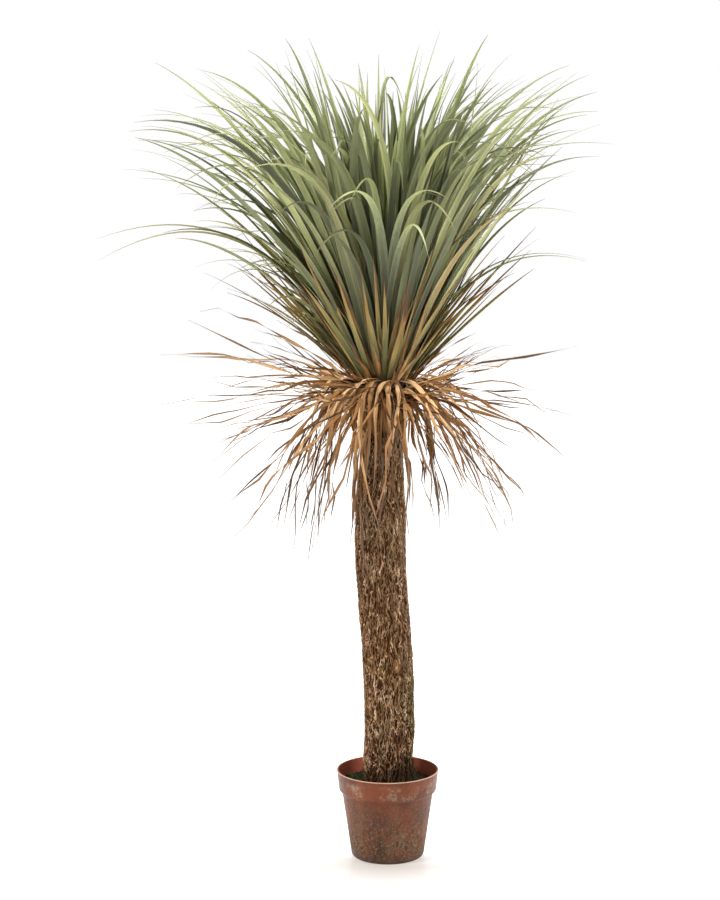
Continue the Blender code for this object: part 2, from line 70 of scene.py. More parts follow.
# Trunk: how far its axis stands aside and back, and its radius, each as (height, metres)
TRUNK_FOOT_Z = 0.030
TRUNK_TOP_Z = 0.900
TRUNK_AXIS_X = (
    (0.03, 0.0), (0.10, 0.0), (0.15, 0.0), (0.26, 0.0038), (0.41, -0.0025),
    (0.53, -0.0120), (0.66, -0.0138), (0.74, -0.0120), (0.80, -0.0080), (0.90, -0.0080),
)
TRUNK_AXIS_Y = (
    (0.03, 0.0), (0.10, 0.0), (0.15, 0.0), (0.30, 0.0030),
    (0.50, 0.0080), (0.70, 0.0050), (0.80, 0.0), (0.90, 0.0),
)
TRUNK_RADIUS = (
    (0.03, 0.0455), (0.10, 0.0455), (0.15, 0.0455), (0.22, 0.0468), (0.52, 0.0466),
    (0.62, 0.0468), (0.68, 0.0452), (0.74, 0.0405), (0.80, 0.0385), (0.90, 0.0385),
)
TRUNK_SIDES = 192
TRUNK_RINGS = 400
STEM_INSET = 0.0006
FIBRE_SEED = 29
FOOT_FIBRE_SEED = 31
FIBRE_STEPS = 5
FOOT_FIBRES = 260

# Pot and soil: the hole for the trunk's foot as (radius, floor), and beds of moss as (x, y, reach)
POT_SIDES = 160
SOIL_SIDES = 144
SOIL_RINGS = 26
FOOT_HOLE = (0.0450, 0.0297)
MOSS_BEDS = ((-0.058, -0.034, 0.030), (-0.066, 0.010, 0.020), (0.062, -0.022, 0.026), (0.03, 0.066, 0.028))

# Heart of the head and the leaves that stand on it, as the frame has them
HEART_CENTRE = Vector((-0.006, 0.0, 0.935))
HEART_RADIUS = 0.050
HEART_HALF_HEIGHT = 0.060
HEART_INSET = 0.92
HEART_SIDES = 40
LIVING_LINE_SEED = 5
INNER_LINE_SEED = 6
ROOT_SINK = 0.012
GREEN_LEAVES = 114
GREEN_SEED = 12
GREEN_OUTER_POLAR = 112.0
GREEN_RISE = (88.0, 60.0)
GREEN_LEAN = 8.0
GREEN_CEILING = (1.350, 1.490)
GREEN_LENGTH = ((0.0, 0.53), (0.50, 0.72), (0.80, 0.62), (1.0, 0.46))
GREEN_DROOP = ((0.0, 10.0), (0.50, 62.0), (0.80, 62.0), (1.0, 40.0))
GREEN_DROOP_STRAY = 22.0
GREEN_SWAY = 20.0
GREEN_TWIST = 50.0
GREEN_BEND_AT = 0.66
BEND_AT = 0.56

# Leaves that stand out from the head: azimuth, rise, length, droop, sway
STANDOUT_OUTER_RISE = 58.0
STANDOUT_LEAVES = (
    (182, 62, 0.71, 83, 1), (177, 62, 0.75, 93, 4), (190, 67, 0.65, 65, 0), (168, 67, 0.65, 67, 0),
    (180, 69, 0.655, 62, -3), (195, 73, 0.65, 68, 0), (160, 74, 0.69, 66, 2), (173, 78, 0.64, 57, 5),
    (205, 75, 0.59, 46, 0), (166, 84, 0.67, 63, 0), (200, 83, 0.60, 59, 0), (215, 75, 0.54, 14, 0),
    (192, 76, 0.55, 3, 0), (165, 80, 0.54, 3, 0), (188, 61, 0.435, 30, 0), (2, 79, 0.72, 86, 0),
    (352, 74, 0.61, 58, 1), (12, 77, 0.61, 54, -3), (346, 80, 0.605, 52, 0), (14, 86, 0.64, 62, 10),
    (345, 86, 0.59, 55, 0), (20, 86, 0.525, 22, 0), (335, 88, 0.56, 20, 0), (350, 78, 0.545, 78, 0),
    (6, 75, 0.56, 89, 0), (5, 64, 0.50, 80, 3), (257, 82, 0.61, 108, -5), (286, 88, 0.57, 107, 9),
    (279, 85, 0.59, 121, 7),
)

# Finer leaves between them
EXTRA_SEED = 71
EXTRA_AGES = (0.08, 0.88)
EXTRA_SWAY = 2.2
EXTRA_DROOP = 1.3
EXTRA_BEND = 9.0
EXTRA_LENGTH = 1.13
EXTRA_WIDTH = 0.86
RIGHT_SIDE_SEED = 17

# Outline of the head from the front: how far leaves reach from its middle,
# at angles in degrees from upright to the right
HEAD_MIDDLE = Vector((0.0, 0.0, 0.943))
HEAD_EDGE_RIGHT = 39.0
HEAD_EDGE_LIFT = 0.8
HEAD_DEPTH = 0.44
HEAD_FITTINGS = 3
HEAD_REACH = (
    (-100, 0.14), (-80, 0.15), (-64, 0.26), (-56, 0.36), (-47, 0.575), (-32, 0.605), (-22, 0.600),
    (-14, 0.570), (-4, 0.460), (6, 0.485), (16, 0.575), (26, 0.612), (36, 0.605), (43, 0.34), (50, 0.20),
    (100, 0.12),
)

# Leaves that fold over or stand apart: azimuth and polar angle of the root, bend, tip, half width, lightness
BENT_LEAVES = (
    (268, 74, (0.012, -0.330, 1.330), (-0.098, -0.330, 1.203), 0.0090, 0.86),
    (280, 76, (-0.008, -0.300, 1.305), (0.102, -0.300, 1.220), 0.0085, 0.80),
    (262, 84, (0.030, -0.330, 1.300), (0.068, -0.360, 1.120), 0.0068, 0.95),
    (230, 60, (-0.089, -0.180, 1.396), (-0.250, -0.140, 1.266), 0.0062, 1.00),
    (310, 50, (0.150, -0.060, 1.250), (0.160, -0.060, 1.466), 0.0045, 0.35),
    (90, 20, (-0.035, 0.030, 1.600), (0.030, 0.030, 1.400), 0.0060, 0.55),
    (185, 105, (-0.197, 0.010, 1.171), (-0.354, 0.020, 1.104), 0.0060, 0.45),
    (200, 100, (-0.208, -0.020, 1.184), (-0.322, -0.030, 1.063), 0.0055, 0.35),
    (350, 100, (0.130, 0.000, 1.060), (0.276, 0.000, 1.157), 0.0070, 0.50),
    (340, 95, (0.151, -0.010, 1.178), (0.362, 0.000, 1.119), 0.0060, 0.40),
)

# Yellowing leaves under the green ones. The bunches are azimuth, its stray, rise, its stray, length, count
YELLOW_LEAVES = 26
YELLOW_SEED = 23
YELLOW_SHEATH = (0.8875, 0.8995)
YELLOW_ROOT_RADIUS = 0.0410
YELLOW_RISE = (46.0, 60.0)
YELLOW_LENGTH = (0.24, 0.40)
YELLOW_LINE_SEED = 41
YELLOW_TRIES = 12
YELLOW_FINE_STEPS = 14
YELLOW_ROOT_STEPS = 3
EXTRA_YELLOW_SEED = 43
EXTRA_YELLOW_RISE = (50.0, 70.0)
EXTRA_YELLOW_RISE_RIGHT = 57.0
EXTRA_YELLOW_LEAN = 9.0
EXTRA_YELLOW_LENGTH = (0.24, 0.46)
YELLOW_BUNCHES = ((355, 28, 59, 3, 0.33, 11), (188, 28, 57, 5, 0.32, 12))

# Dried leaves round the neck. The fans are azimuth, its stray, slope, its stray, length, count
DRY_LEAVES = 102
DRY_SEED = 37
DRY_SHEATH = (0.832, 0.8872)
DRY_SHEATH_RADIUS = 0.0465
DRY_LEGS = (0.13, 0.27, 0.30, 0.30)
DRY_LENGTH = (0.22, 0.39)
DRY_SPREAD = (14.0, -88.0)
DRY_SPREAD_STRAY = 0.25
DRY_STEEPEST = -88.0
DRY_LEAN = 6.0
DRY_RISE_AT_ROOT = (14.0, 30.0)
DRY_ROOT_SINK = 0.006
DRY_CURL = 14.0
DRY_KINK = 13.0
DRY_CLEAR_OF_TRUNK = 0.0125
DRY_EXTRA_SEED = 53
DRY_EXTRA_STRAY = 0.35
DRY_EXTRA_STEEPEST = 0.72
DRY_EXTRA_WIDTH = 0.62
DRY_EXTRA_FANS = (
    (350, 28, -57, 8, 0.38, 20), (186, 16, -82, 5, 0.40, 13), (182, 14, -11, 4, 0.37, 5),
    (180, 16, -61, 5, 0.38, 5), (190, 30, 16, 12, 0.22, 18), (0, 30, 24, 7, 0.17, 20),
    (172, 25, -12, 6, 0.38, 6),
)
NECK_ROOT_RADIUS = 0.040
SKIRT_SEED = 61
STRIP_SEED = 62
FAN_SEED = 63
WREATH_SEED = 97
FRONT_WREATH_SEED = 98
HANGING_SEED = 89
OLD_BASES = 90
BASE_SEED = 83
COLLAR_BASES = 64
COLLAR_SEED = 91

# Broad strips of the wreath in front: half width, then a run of (across, out to the front, height)
WREATH_STRIPS = (
    (0.0080, (-0.013, 0.040, 0.903), (-0.044, 0.080, 0.908), (-0.062, 0.098, 0.884), (-0.090, 0.110, 0.846)),
    (0.0070, (-0.010, 0.040, 0.902), (-0.030, 0.075, 0.903), (-0.046, 0.086, 0.874), (-0.049, 0.080, 0.812),
     (-0.045, 0.072, 0.742)),
    (0.0078, (-0.003, 0.040, 0.898), (0.000, 0.080, 0.898), (0.001, 0.088, 0.866), (0.004, 0.076, 0.797),
     (0.001, 0.066, 0.735)),
    (0.0062, (0.013, 0.040, 0.897), (0.020, 0.078, 0.889), (0.020, 0.084, 0.850), (0.008, 0.076, 0.797),
     (0.002, 0.070, 0.748)),
    (0.0088, (0.022, 0.038, 0.900), (0.049, 0.074, 0.900), (0.078, 0.092, 0.868), (0.105, 0.104, 0.824),
     (0.146, 0.110, 0.776)),
    (0.0075, (0.029, 0.034, 0.900), (0.058, 0.064, 0.888), (0.080, 0.080, 0.835), (0.096, 0.080, 0.785)),
    (0.0066, (-0.040, 0.010, 0.905), (-0.078, 0.024, 0.922), (-0.090, 0.040, 0.902), (-0.092, 0.048, 0.862)),
    (0.0084, (-0.028, 0.032, 0.900), (-0.066, 0.056, 0.893), (-0.096, 0.072, 0.860), (-0.118, 0.080, 0.800)),
    (0.0050, (-0.040, 0.040, 0.895), (-0.053, 0.080, 0.842), (-0.050, 0.078, 0.761), (-0.032, 0.072, 0.688),
     (-0.008, 0.066, 0.604)),
    (0.0066, (-0.021, 0.042, 0.900), (-0.033, 0.076, 0.880), (-0.033, 0.072, 0.797), (-0.040, 0.062, 0.722)),
    (0.0070, (0.036, 0.022, 0.900), (0.078, 0.036, 0.898), (0.112, 0.050, 0.872), (0.150, 0.060, 0.834),
     (0.190, 0.066, 0.812)),
    (0.0068, (-0.038, 0.020, 0.898), (-0.084, 0.036, 0.888), (-0.126, 0.050, 0.866), (-0.166, 0.056, 0.822)),
    (0.0060, (0.008, 0.042, 0.902), (-0.010, 0.084, 0.901), (-0.024, 0.096, 0.862), (-0.020, 0.080, 0.790),
     (-0.027, 0.070, 0.700)),
    (0.0048, (0.018, 0.042, 0.900), (0.032, 0.080, 0.866), (0.030, 0.078, 0.800), (0.040, 0.070, 0.742),
     (0.036, 0.066, 0.690)),
)

# Places of the four leaf colours on their ramps, and the thinnest half width that a blade is drawn out to
LEAF_STOPS = (0.16, 0.42, 0.70, 0.98)
THINNEST = 0.00025

# A turned outline's radius under which it lies on the axis
ON_AXIS = 1e-7


def smooth_step(low, high, value):
    t = min(max((value - low) / (high - low), 0.0), 1.0)
    return t * t * (3 - 2 * t)


def mix(pair, share):
    return pair[0] + (pair[1] - pair[0]) * share


def between(first, second, share):
    """The colour at a share of the way from one colour to another."""
    return tuple((1 - share) * a + share * b for a, b in zip(first, second))


def shares(steps):
    """Even steps from 0 to 1."""
    return [k / steps for k in range(steps + 1)]


def spiral(k):
    """The azimuth of the leaf with this number, each a golden angle on from the last."""
    return math.degrees(k * GOLDEN_ANGLE) % 360


def curve_through(table, at):
    """The value at a height, on a smooth curve through (height, value) pairs that is level where they are."""
    at = min(max(at, table[0][0]), table[-1][0])
    i = max(k for k in range(len(table) - 1) if table[k][0] <= at or k == 0)
    (x0, y0), (x1, y1) = table[i], table[i + 1]
    before, after = table[max(i - 1, 0)], table[min(i + 2, len(table) - 1)]
    slope0 = 0.0 if y1 == y0 or before[1] == y0 else (y1 - before[1]) / (x1 - before[0])
    slope1 = 0.0 if y1 == y0 or after[1] == y1 else (after[1] - y0) / (after[0] - x0)
    t, span = (at - x0) / (x1 - x0), x1 - x0
    return (
        (2 * t**3 - 3 * t**2 + 1) * y0
        + (t**3 - 2 * t**2 + t) * span * slope0
        + (3 * t**2 - 2 * t**3) * y1
        + (t**3 - t**2) * span * slope1
    )


def trunk_centre(z):
    return Vector((curve_through(TRUNK_AXIS_X, z), curve_through(TRUNK_AXIS_Y, z), z))


def direction(azimuth, rise):
    """The unit vector at an azimuth and a rise over the horizon, in degrees. Azimuth 0 is +X, 90 is +Y."""
    a, e = math.radians(azimuth), math.radians(rise)
    return Vector((math.cos(e) * math.cos(a), math.cos(e) * math.sin(a), math.sin(e)))


def by_trunk(z, azimuth, reach):
    """The point level with a height on the trunk's axis and a reach away from it."""
    return trunk_centre(z) + direction(azimuth, 0) * reach


# Node building


class Signal:
    """A node's output. Sums and products of signals add the nodes that work them out."""

    def __init__(self, socket):
        self.socket = socket
        self.tree = socket.id_data

    def maths(self, operation, second=0.0, third=0.0):
        return put(self.tree, "ShaderNodeMath", {0: self, 1: second, 2: third}, operation=operation)

    def __add__(self, other):
        return self.maths("ADD", other)

    def __sub__(self, other):
        return self.maths("SUBTRACT", other)

    def __mul__(self, other):
        return self.maths("MULTIPLY", other)

    def __rtruediv__(self, other):
        return put(self.tree, "ShaderNodeMath", {0: other, 1: self}, operation="DIVIDE")

    def absolute(self):
        return self.maths("ABSOLUTE")

    def vector(self, operation, other):
        return put(self.tree, "ShaderNodeVectorMath", {0: self, 1: other}, operation=operation)

    def length(self):
        return put(self.tree, "ShaderNodeVectorMath", {0: self}, "Value", operation="LENGTH")

    def axis(self, number):
        return put(self.tree, "ShaderNodeSeparateXYZ", {0: self}, number)

    def spread(self, low, high, to_low=0.0, to_high=1.0):
        """The signal mapped from one range to another and held inside it."""
        return put(self.tree, "ShaderNodeMapRange", {0: self, 1: low, 2: high, 3: to_low, 4: to_high})

    def noise(self, scale, detail=3.0, roughness=0.55, distortion=0.0):
        """Noise at the place that the signal gives."""
        sizes = {"Scale": scale, "Detail": detail, "Roughness": roughness, "Distortion": distortion}
        return put(self.tree, "ShaderNodeTexNoise", {"Vector": self, **sizes})

    def ramp(self, places, colours):
        """Colours at places along the signal."""
        made = put(self.tree, "ShaderNodeValToRGB", {0: self})
        points = made.socket.node.color_ramp.elements
        while len(points) < len(places):
            points.new(0.5)
        for point, place, colour in zip(points, places, colours):
            point.position = place
            point.color = (*colour[:3], 1.0)
        return made


def give(socket, value):
    """Links a signal to an input, or sets the input to a plain value."""
    if isinstance(value, Signal):
        value.tree.links.new(value.socket, socket)
    elif socket.type == "RGBA":
        socket.default_value = (*value[:3], 1.0)
    else:
        socket.default_value = value


def put(tree, kind, inputs=None, output=0, **settings):
    """Adds a node with its settings and inputs, and returns one of its outputs."""
    node = tree.nodes.new(kind)
    for key, value in settings.items():
        setattr(node, key, value)
    for key, value in (inputs or {}).items():
        give(node.inputs[key], value)
    return Signal(node.outputs[output])


def mixed(share, first, second, kind="MIX"):
    """Two colours mixed by a share."""
    tree = next(part.tree for part in (share, first, second) if isinstance(part, Signal))
    return put(tree, "ShaderNodeMix", {0: share, 6: first, 7: second}, 2, data_type="RGBA", blend_type=kind)


def layered(colour, layers, kind="MIX"):
    """The colour with (share, colour) layers laid over it in turn."""
    for share, layer in layers:
        colour = mixed(share, colour, layer, kind)
    return colour


def attribute(tree, name, output="Fac"):
    return put(tree, "ShaderNodeAttribute", None, output, attribute_name=name)


def on_object(tree, stretch=(1.0, 1.0, 1.0)):
    """Object coordinates, stretched along each axis."""
    place = put(tree, "ShaderNodeTexCoord", None, "Object")
    return put(tree, "ShaderNodeMapping", {"Vector": place, "Scale": stretch})


def new_group(name, tree_kind, inputs, outputs):
    """A new node group: returns it, its inputs by name, and the sockets that take its results."""
    group = bpy.data.node_groups.new(name, tree_kind)
    for side, sockets in (("OUTPUT", outputs), ("INPUT", inputs)):
        for label, kind, *default in sockets:
            socket = group.interface.new_socket(name=label, in_out=side, socket_type="NodeSocket" + kind)
            if default:
                socket.default_value = default[0]
    entry = group.nodes.new("NodeGroupInput")
    given = {socket.name: Signal(socket) for socket in entry.outputs if socket.name}
    return group, given, group.nodes.new("NodeGroupOutput").inputs


def shared(name, make):
    """The node group of this name, made if it isn't there yet."""
    return bpy.data.node_groups.get(name) or make(name)


def use_group(tree, group, inputs):
    """Adds a shader node group to a tree, and returns its outputs by name."""
    node = put(tree, "ShaderNodeGroup", inputs, node_tree=group).socket.node
    return {socket.name: Signal(socket) for socket in node.outputs}


def streaks_group(name):
    """Fine lines that run the length of a leaf or a fibre, and blotches broader than they are."""
    inputs = (("Along", "Float"), ("Across", "Float"), ("Shift", "Float"), ("Lines", "Float", 9.0))
    outputs = (("Streaks", "Float"), ("Blotches", "Float"))
    group, given, results = new_group(name, "ShaderNodeTree", inputs, outputs)
    lengthwise, shifted = given["Along"] * 5.0, given["Shift"] * 37.0
    for label, across, scale, detail, roughness in (
        ("Streaks", given["Across"] * given["Lines"], 1.0, 4.0, 0.65),
        ("Blotches", given["Across"], 1.1, 2.0, 0.5),
    ):
        place = put(group, "ShaderNodeCombineXYZ", {0: across, 1: lengthwise, 2: shifted})
        give(results[label], place.noise(scale, detail, roughness))
    return group


def dust_group(name):
    """Dull dust and water marks that settle in runs and specks."""
    inputs = (("Place", "Vector"), ("Patch Scale", "Float", 22.0), ("Speck Scale", "Float", 420.0))
    outputs = (("Patches", "Float"), ("Specks", "Float"))
    group, given, results = new_group(name, "ShaderNodeTree", inputs, outputs)
    patches = given["Place"].noise(given["Patch Scale"], 6.0, 0.68, 0.6)
    specks = given["Place"].noise(given["Speck Scale"], 3.0, 0.7)
    give(results["Patches"], patches.spread(0.45, 0.60))
    give(results["Specks"], specks.spread(0.52, 0.63))
    return group


def new_finish(name, specular, roughness=0.6):
    """A material: returns it, its tree and its shader's inputs."""
    material = bpy.data.materials.new(name)
    material.use_nodes = True
    shader = material.node_tree.nodes["Principled BSDF"].inputs
    shader["Specular IOR Level"].default_value = specular
    shader["Roughness"].default_value = roughness
    return material, material.node_tree, shader


def dress(shader, colour, roughness=None, bump=None):
    """Feeds a shader its colour, its roughness, and a bump given as height, strength and distance."""
    give(shader["Base Color"], colour)
    if roughness:
        give(shader["Roughness"], roughness)
    if bump:
        inputs = dict(zip(("Height", "Strength", "Distance"), bump))
        give(shader["Normal"], put(bump[0].tree, "ShaderNodeBump", inputs))


# Finishes


def pot_finish(settings):
    """Moulded terracotta-coloured plastic: mottled with dried mud low down, lime-stained on the collar; its
    lip pale from wear and a painted highlight, its inner wall brighter as painted light.
    """
    material, tree, shader = new_finish("stained_terracotta_plastic", specular=0.20)
    place = on_object(tree)
    height = place.axis(2)
    dust = shared("settled_dust", dust_group)
    drawn_down = {"Place": on_object(tree, (1.0, 1.0, 0.45)), "Patch Scale": 30.0, "Speck Scale": 120.0}
    runs = use_group(tree, dust, drawn_down)
    fine = use_group(tree, dust, {"Place": place, "Patch Scale": 150.0, "Speck Scale": 430.0})
    low = height.spread(0.138, 0.034, 0.08, 1.0)
    film = (runs["Patches"] * 0.55 + fine["Patches"] * 0.45) * low
    scratches = place.noise(250.0, 4.0, 0.75).spread(0.55, 0.63)
    collar = height.spread(0.120, 0.135) * height.spread(0.158, 0.148)
    clusters = on_object(tree, (1.0, 1.0, 0.8)).noise(27.0, 3.0, 0.6).spread(0.47, 0.60)
    grains = place.noise(170.0, 5.0, 0.75).spread(0.47, 0.62, 0.10, 1.0)
    wall_middle = height.maths("MULTIPLY_ADD", 0.118, 0.0753)
    within = wall_middle - on_object(tree, (1.0, 1.0, 0.0)).length()
    inside = within.spread(-0.0003, 0.0003) * height.spread(0.122, 0.130)
    tones = place.noise(14.0, 5.0, 0.65).spread(0.36, 0.64)
    colour = layered(
        mixed(tones, settings.dark_plastic, settings.plastic),
        (
            (film * 0.95, settings.dust),
            (fine["Specks"] * low, (0.022, 0.012, 0.006)),
            (runs["Specks"] * (low * 0.75), (0.030, 0.017, 0.008)),
            (scratches * (low * 0.72), (0.23, 0.165, 0.105)),
            (collar * clusters * grains * 0.68, (0.30, 0.225, 0.155)),
            # Darker towards the very bottom of the pot.
            (height.spread(0.022, 0.001) * 0.60, (0.052, 0.036, 0.024)),
            # The top of the lip is painted pale: partly wear, partly a painted highlight.
            (height.spread(0.1620, 0.1637) * 0.72, (0.60, 0.39, 0.29)),
            # The inner wall above the soil is painted a cleaner, brighter red than the plastic: painted light
            # in the shaded mouth of the pot.
            (inside * 0.85, (0.400, 0.100, 0.055)),
        ),
    )
    shader["Sheen Weight"].default_value = 0.26
    shader["Sheen Roughness"].default_value = 0.13
    shader["Sheen Tint"].default_value = (1.0, 0.80, 0.70, 1.0)
    grain = (fine["Patches"] + runs["Patches"], 0.45, 0.0006)
    dress(shader, colour, film.spread(0.0, 0.5, 0.36, 0.80), grain)
    return material


def soil_finish():
    """Dark, crumbly, peaty soil with paler grit and a green bloom under the moss."""
    material, tree, shader = new_finish("potting_soil", specular=0.2)
    grain = on_object(tree).noise(420.0, 5.0, 0.7)
    tones = ((0.006, 0.004, 0.003), (0.030, 0.020, 0.013), (0.105, 0.075, 0.048))
    colour = grain.ramp((0.30, 0.52, 0.72), tones)
    colour = mixed(attribute(tree, "moss") * 0.40, colour, (0.035, 0.055, 0.012))
    dress(shader, colour, grain.spread(0.3, 0.7, 0.95, 0.80), (grain, 0.8, 0.0015))
    return material


def moss_finish():
    """Short, bright green moss, mottled darker and lighter at random."""
    material, tree, shader = new_finish("moss", specular=0.2, roughness=0.85)
    tone = on_object(tree).noise(260.0, 4.0, 0.7)
    tones = ((0.004, 0.007, 0.002), (0.022, 0.038, 0.009), (0.085, 0.115, 0.030))
    dress(shader, tone.ramp((0.36, 0.52, 0.66), tones))
    return material


def bark_strands(place, across, upright):
    """Wavy, forking strands that run up the trunk: 0 in the furrows between them, 1 on their crests."""
    wobble = put(place.tree, "ShaderNodeTexNoise", {"Vector": place, "Scale": 30.0, "Detail": 2.0}, "Color")
    sway = wobble.vector("SUBTRACT", (0.5, 0.5, 0.5)).vector("MULTIPLY", (0.012, 0.012, 0.010))
    stretch = put(place.tree, "ShaderNodeCombineXYZ", {0: across, 1: across, 2: upright})
    drawn = place.vector("ADD", sway).vector("MULTIPLY", stretch)
    crests = []
    for shift, scale in ((0.0, 1.0), (31.0, 1.45)):
        level = drawn.vector("ADD", (shift, shift, shift)).noise(scale, 1.5, 0.5) - 0.5
        crests.append(level.absolute().spread(0.010, 0.075, 1.0, 0.0))
    broken = drawn.noise(0.8, 3.0, 0.6).spread(0.36, 0.62, 0.45, 1.0)
    return crests[0].maths("MAXIMUM", crests[1]) * broken


def bark_finish(settings):
    """Fibrous bark: pale strands over dark furrows that are partly painted shade, in ochre, reddish and
    green-grey patches, with painted shade on its flanks and towards its foot.
    """
    material, tree, shader = new_finish("fibrous_bark", specular=0.06)
    place = on_object(tree)
    sideways, height = place.axis(0), place.axis(2)
    rest = attribute(tree, "rest_place", "Vector")
    strands = bark_strands(rest, 1 / settings.ridge_width, 1 / settings.ridge_length)
    # The colour follows the strands that also raise the relief: dark furrows are partly the bark's own dark
    # fibre and partly painted shade, with more contrast low on the trunk.
    level = strands * 0.80 + on_object(tree, (1.0, 1.0, 0.16)).noise(430.0, 5.0, 0.7) * 0.42
    shaggy = height.spread(0.300, 0.190, 0.0, 0.85)
    level = level + shaggy * (level - 0.60)
    furrow, ridge = settings.furrow, settings.ridge
    tones = (furrow, between(furrow, ridge, 0.30), ridge, settings.ridge_crest)
    ochre = place.noise(13.0, 4.0, 0.6).spread(0.50, 0.66)
    grey = on_object(tree, (1.3, 1.3, 0.8)).noise(17.0, 4.0, 0.6).spread(0.52, 0.70)
    reddish = on_object(tree, (1.1, 1.1, 0.6)).noise(23.0, 4.0, 0.6).spread(0.48, 0.66)
    flank = (sideways + 0.006).absolute().spread(0.030, 0.048)
    ragged = on_object(tree, (1.0, 1.0, 0.4)).noise(75.0, 4.0, 0.7)
    edge = sideways.maths("MULTIPLY_ADD", -0.55, height) + (ragged - 0.5) * 0.16
    colour = layered(
        level.ramp((0.20, 0.50, 0.80, 1.0), tones),
        (
            (ochre * 0.40, (1.10, 0.98, 0.45)),
            (grey * 0.65, (0.78, 0.86, 0.80)),
            (reddish * 0.85, (0.96, 0.76, 0.76)),
            # The flanks, left and right as the camera sees the trunk, are multiplied darker: green-tinged low
            # down for algae, purplish-grey higher up; the darkening is painted shade.
            (flank * height.spread(0.440, 0.340) * 0.80, (0.56, 0.70, 0.56)),
            (flank * height.spread(0.340, 0.440) * 0.80, (0.70, 0.66, 0.74)),
            # Redder and darker towards the foot, reaching higher on the right: painted shade where the trunk
            # goes down past the pot's rim.
            (edge.spread(0.250, 0.190) * 0.60, (0.80, 0.64, 0.58)),
            (edge.spread(0.182, 0.158) * 0.88, (0.17, 0.12, 0.10)),
        ),
        "MULTIPLY",
    )
    dress(shader, colour, level.spread(0.2, 0.9, 0.95, 0.78), (level, 0.8, 0.0020))
    return material


def new_leaf_finish(name, specular, lines, roughness=0.6):
    """A material for blades: as new_finish gives it, then how far along, shade, streaks and blotches."""
    material, tree, shader = new_finish(name, specular, roughness)
    along, shade = attribute(tree, "along"), attribute(tree, "shade")
    inputs = {"Along": along, "Across": attribute(tree, "across"), "Shift": shade, "Lines": lines}
    marks = use_group(tree, shared("lengthwise_streaks", streaks_group), inputs)
    return material, tree, shader, along, shade, marks["Streaks"], marks["Blotches"]


def lined(colour, streaks, dark, light):
    """The colour with the fine streaks worked into it."""
    fine = streaks.spread(0.32, 0.70, dark, light)
    grey = put(colour.tree, "ShaderNodeCombineColor", {0: fine, 1: fine, 2: fine})
    return mixed(1.0, colour, grey, "MULTIPLY")


def fibre_finish():
    """Loose papery fibres that peel off the bark's ridges."""
    material, _, shader, _, shade, streaks, _ = new_leaf_finish("bark_fibre", 0.06, 9.0, 0.85)
    tones = ((0.022, 0.012, 0.006), (0.165, 0.105, 0.056), (0.300, 0.215, 0.128))
    dress(shader, (shade * 0.6 + streaks * 0.4).ramp((0.10, 0.5, 0.85), tones))
    return material


def green_finish(settings):
    """Living leaf: blue-grey to yellow-green, olive outside, lined, pale-edged and browned at the tip;
    lighter towards the tip as painted light and near black at the root as painted shade.
    """
    material, tree, shader, along, shade, streaks, blotches = new_leaf_finish("living_leaf", 0.40, 11.0)
    age, across = attribute(tree, "age"), attribute(tree, "across").absolute()
    # Tone rises along the leaf: painted light towards the tip, painted shade towards the root.
    tone = shade * 0.80 + blotches * 0.28 + (along - 0.55) * 0.32
    shaded = settings.shaded_leaf
    young = tone.ramp(LEAF_STOPS, (shaded, settings.bloom_leaf, settings.young_leaf, settings.pale_leaf))
    old = tone.ramp(LEAF_STOPS, (shaded, settings.olive_leaf, settings.light_leaf, settings.straw_leaf))
    turning = age.spread(0.72, 1.0) * shade.spread(0.45, 0.75) * blotches.spread(0.30, 0.60, 0.35, 0.9)
    colour = mixed((age + blotches * 0.3).spread(0.55, 1.15), young, old)
    colour = lined(mixed(turning, colour, settings.ochre_leaf), streaks, 0.66, 1.22)
    colour = layered(
        colour,
        (
            # The root end is painted near black: painted shade in the hollow of the head.
            (along.spread(0.36, 0.05) * 0.90, (0.026, 0.022, 0.007)),
            (across.spread(0.88, 1.0) * 0.35, (0.34, 0.34, 0.17)),
            ((along + blotches * 0.12).spread(0.93, 1.06) * 0.8, (0.130, 0.080, 0.040)),
        ),
    )
    dress(shader, colour, streaks.spread(0.3, 0.7, 0.38, 0.60), (streaks, 0.35, 0.0006))
    return material


def yellow_finish(settings):
    """Leaf that is dying back: olive at the root, ochre along its length and brown where it has dried."""
    material, _, shader, along, shade, streaks, blotches = new_leaf_finish("yellowing_leaf", 0.20, 9.0)
    turn = along * 0.72 + blotches * 0.42 + shade * 0.34
    olives = ((0.070, 0.072, 0.028), (0.165, 0.150, 0.055))
    tones = (*olives, settings.yellow_leaf, settings.ochre_leaf, (0.120, 0.055, 0.022))
    colour = lined(turn.ramp((0.30, 0.56, 0.74, 0.92, 1.0), tones), streaks, 0.62, 1.20)
    dress(shader, colour, streaks.spread(0.3, 0.7, 0.50, 0.72), (streaks, 0.4, 0.0007))
    return material


def dry_finish(settings):
    """Dead leaf: papery straw to dark brown, lined along its length and blotched, and near black at the root
    as painted shade.
    """
    material, _, shader, along, shade, streaks, blotches = new_leaf_finish("dried_leaf", 0.06, 7.0)
    tone = shade * 0.62 + blotches * 0.45 - along.spread(0.35, 1.0) * 0.30
    dark, leaf = settings.dry_dark, settings.dry_leaf
    colour = tone.ramp((0.14, 0.34, 0.54, 0.86), (dark, between(dark, leaf, 0.5), leaf, settings.dry_pale))
    end = (along.spread(0.50, 1.0) * 0.6, (0.190, 0.145, 0.108))
    # Near black at the root: painted shade where the strips leave the neck.
    root = (along.spread(0.02, 0.20, 0.75, 0.0), (0.030, 0.014, 0.006))
    colour = layered(lined(colour, streaks, 0.42, 1.32), (end, root))
    dress(shader, colour, streaks.spread(0.3, 0.7, 0.66, 0.88), (streaks, 0.6, 0.0010))
    return material


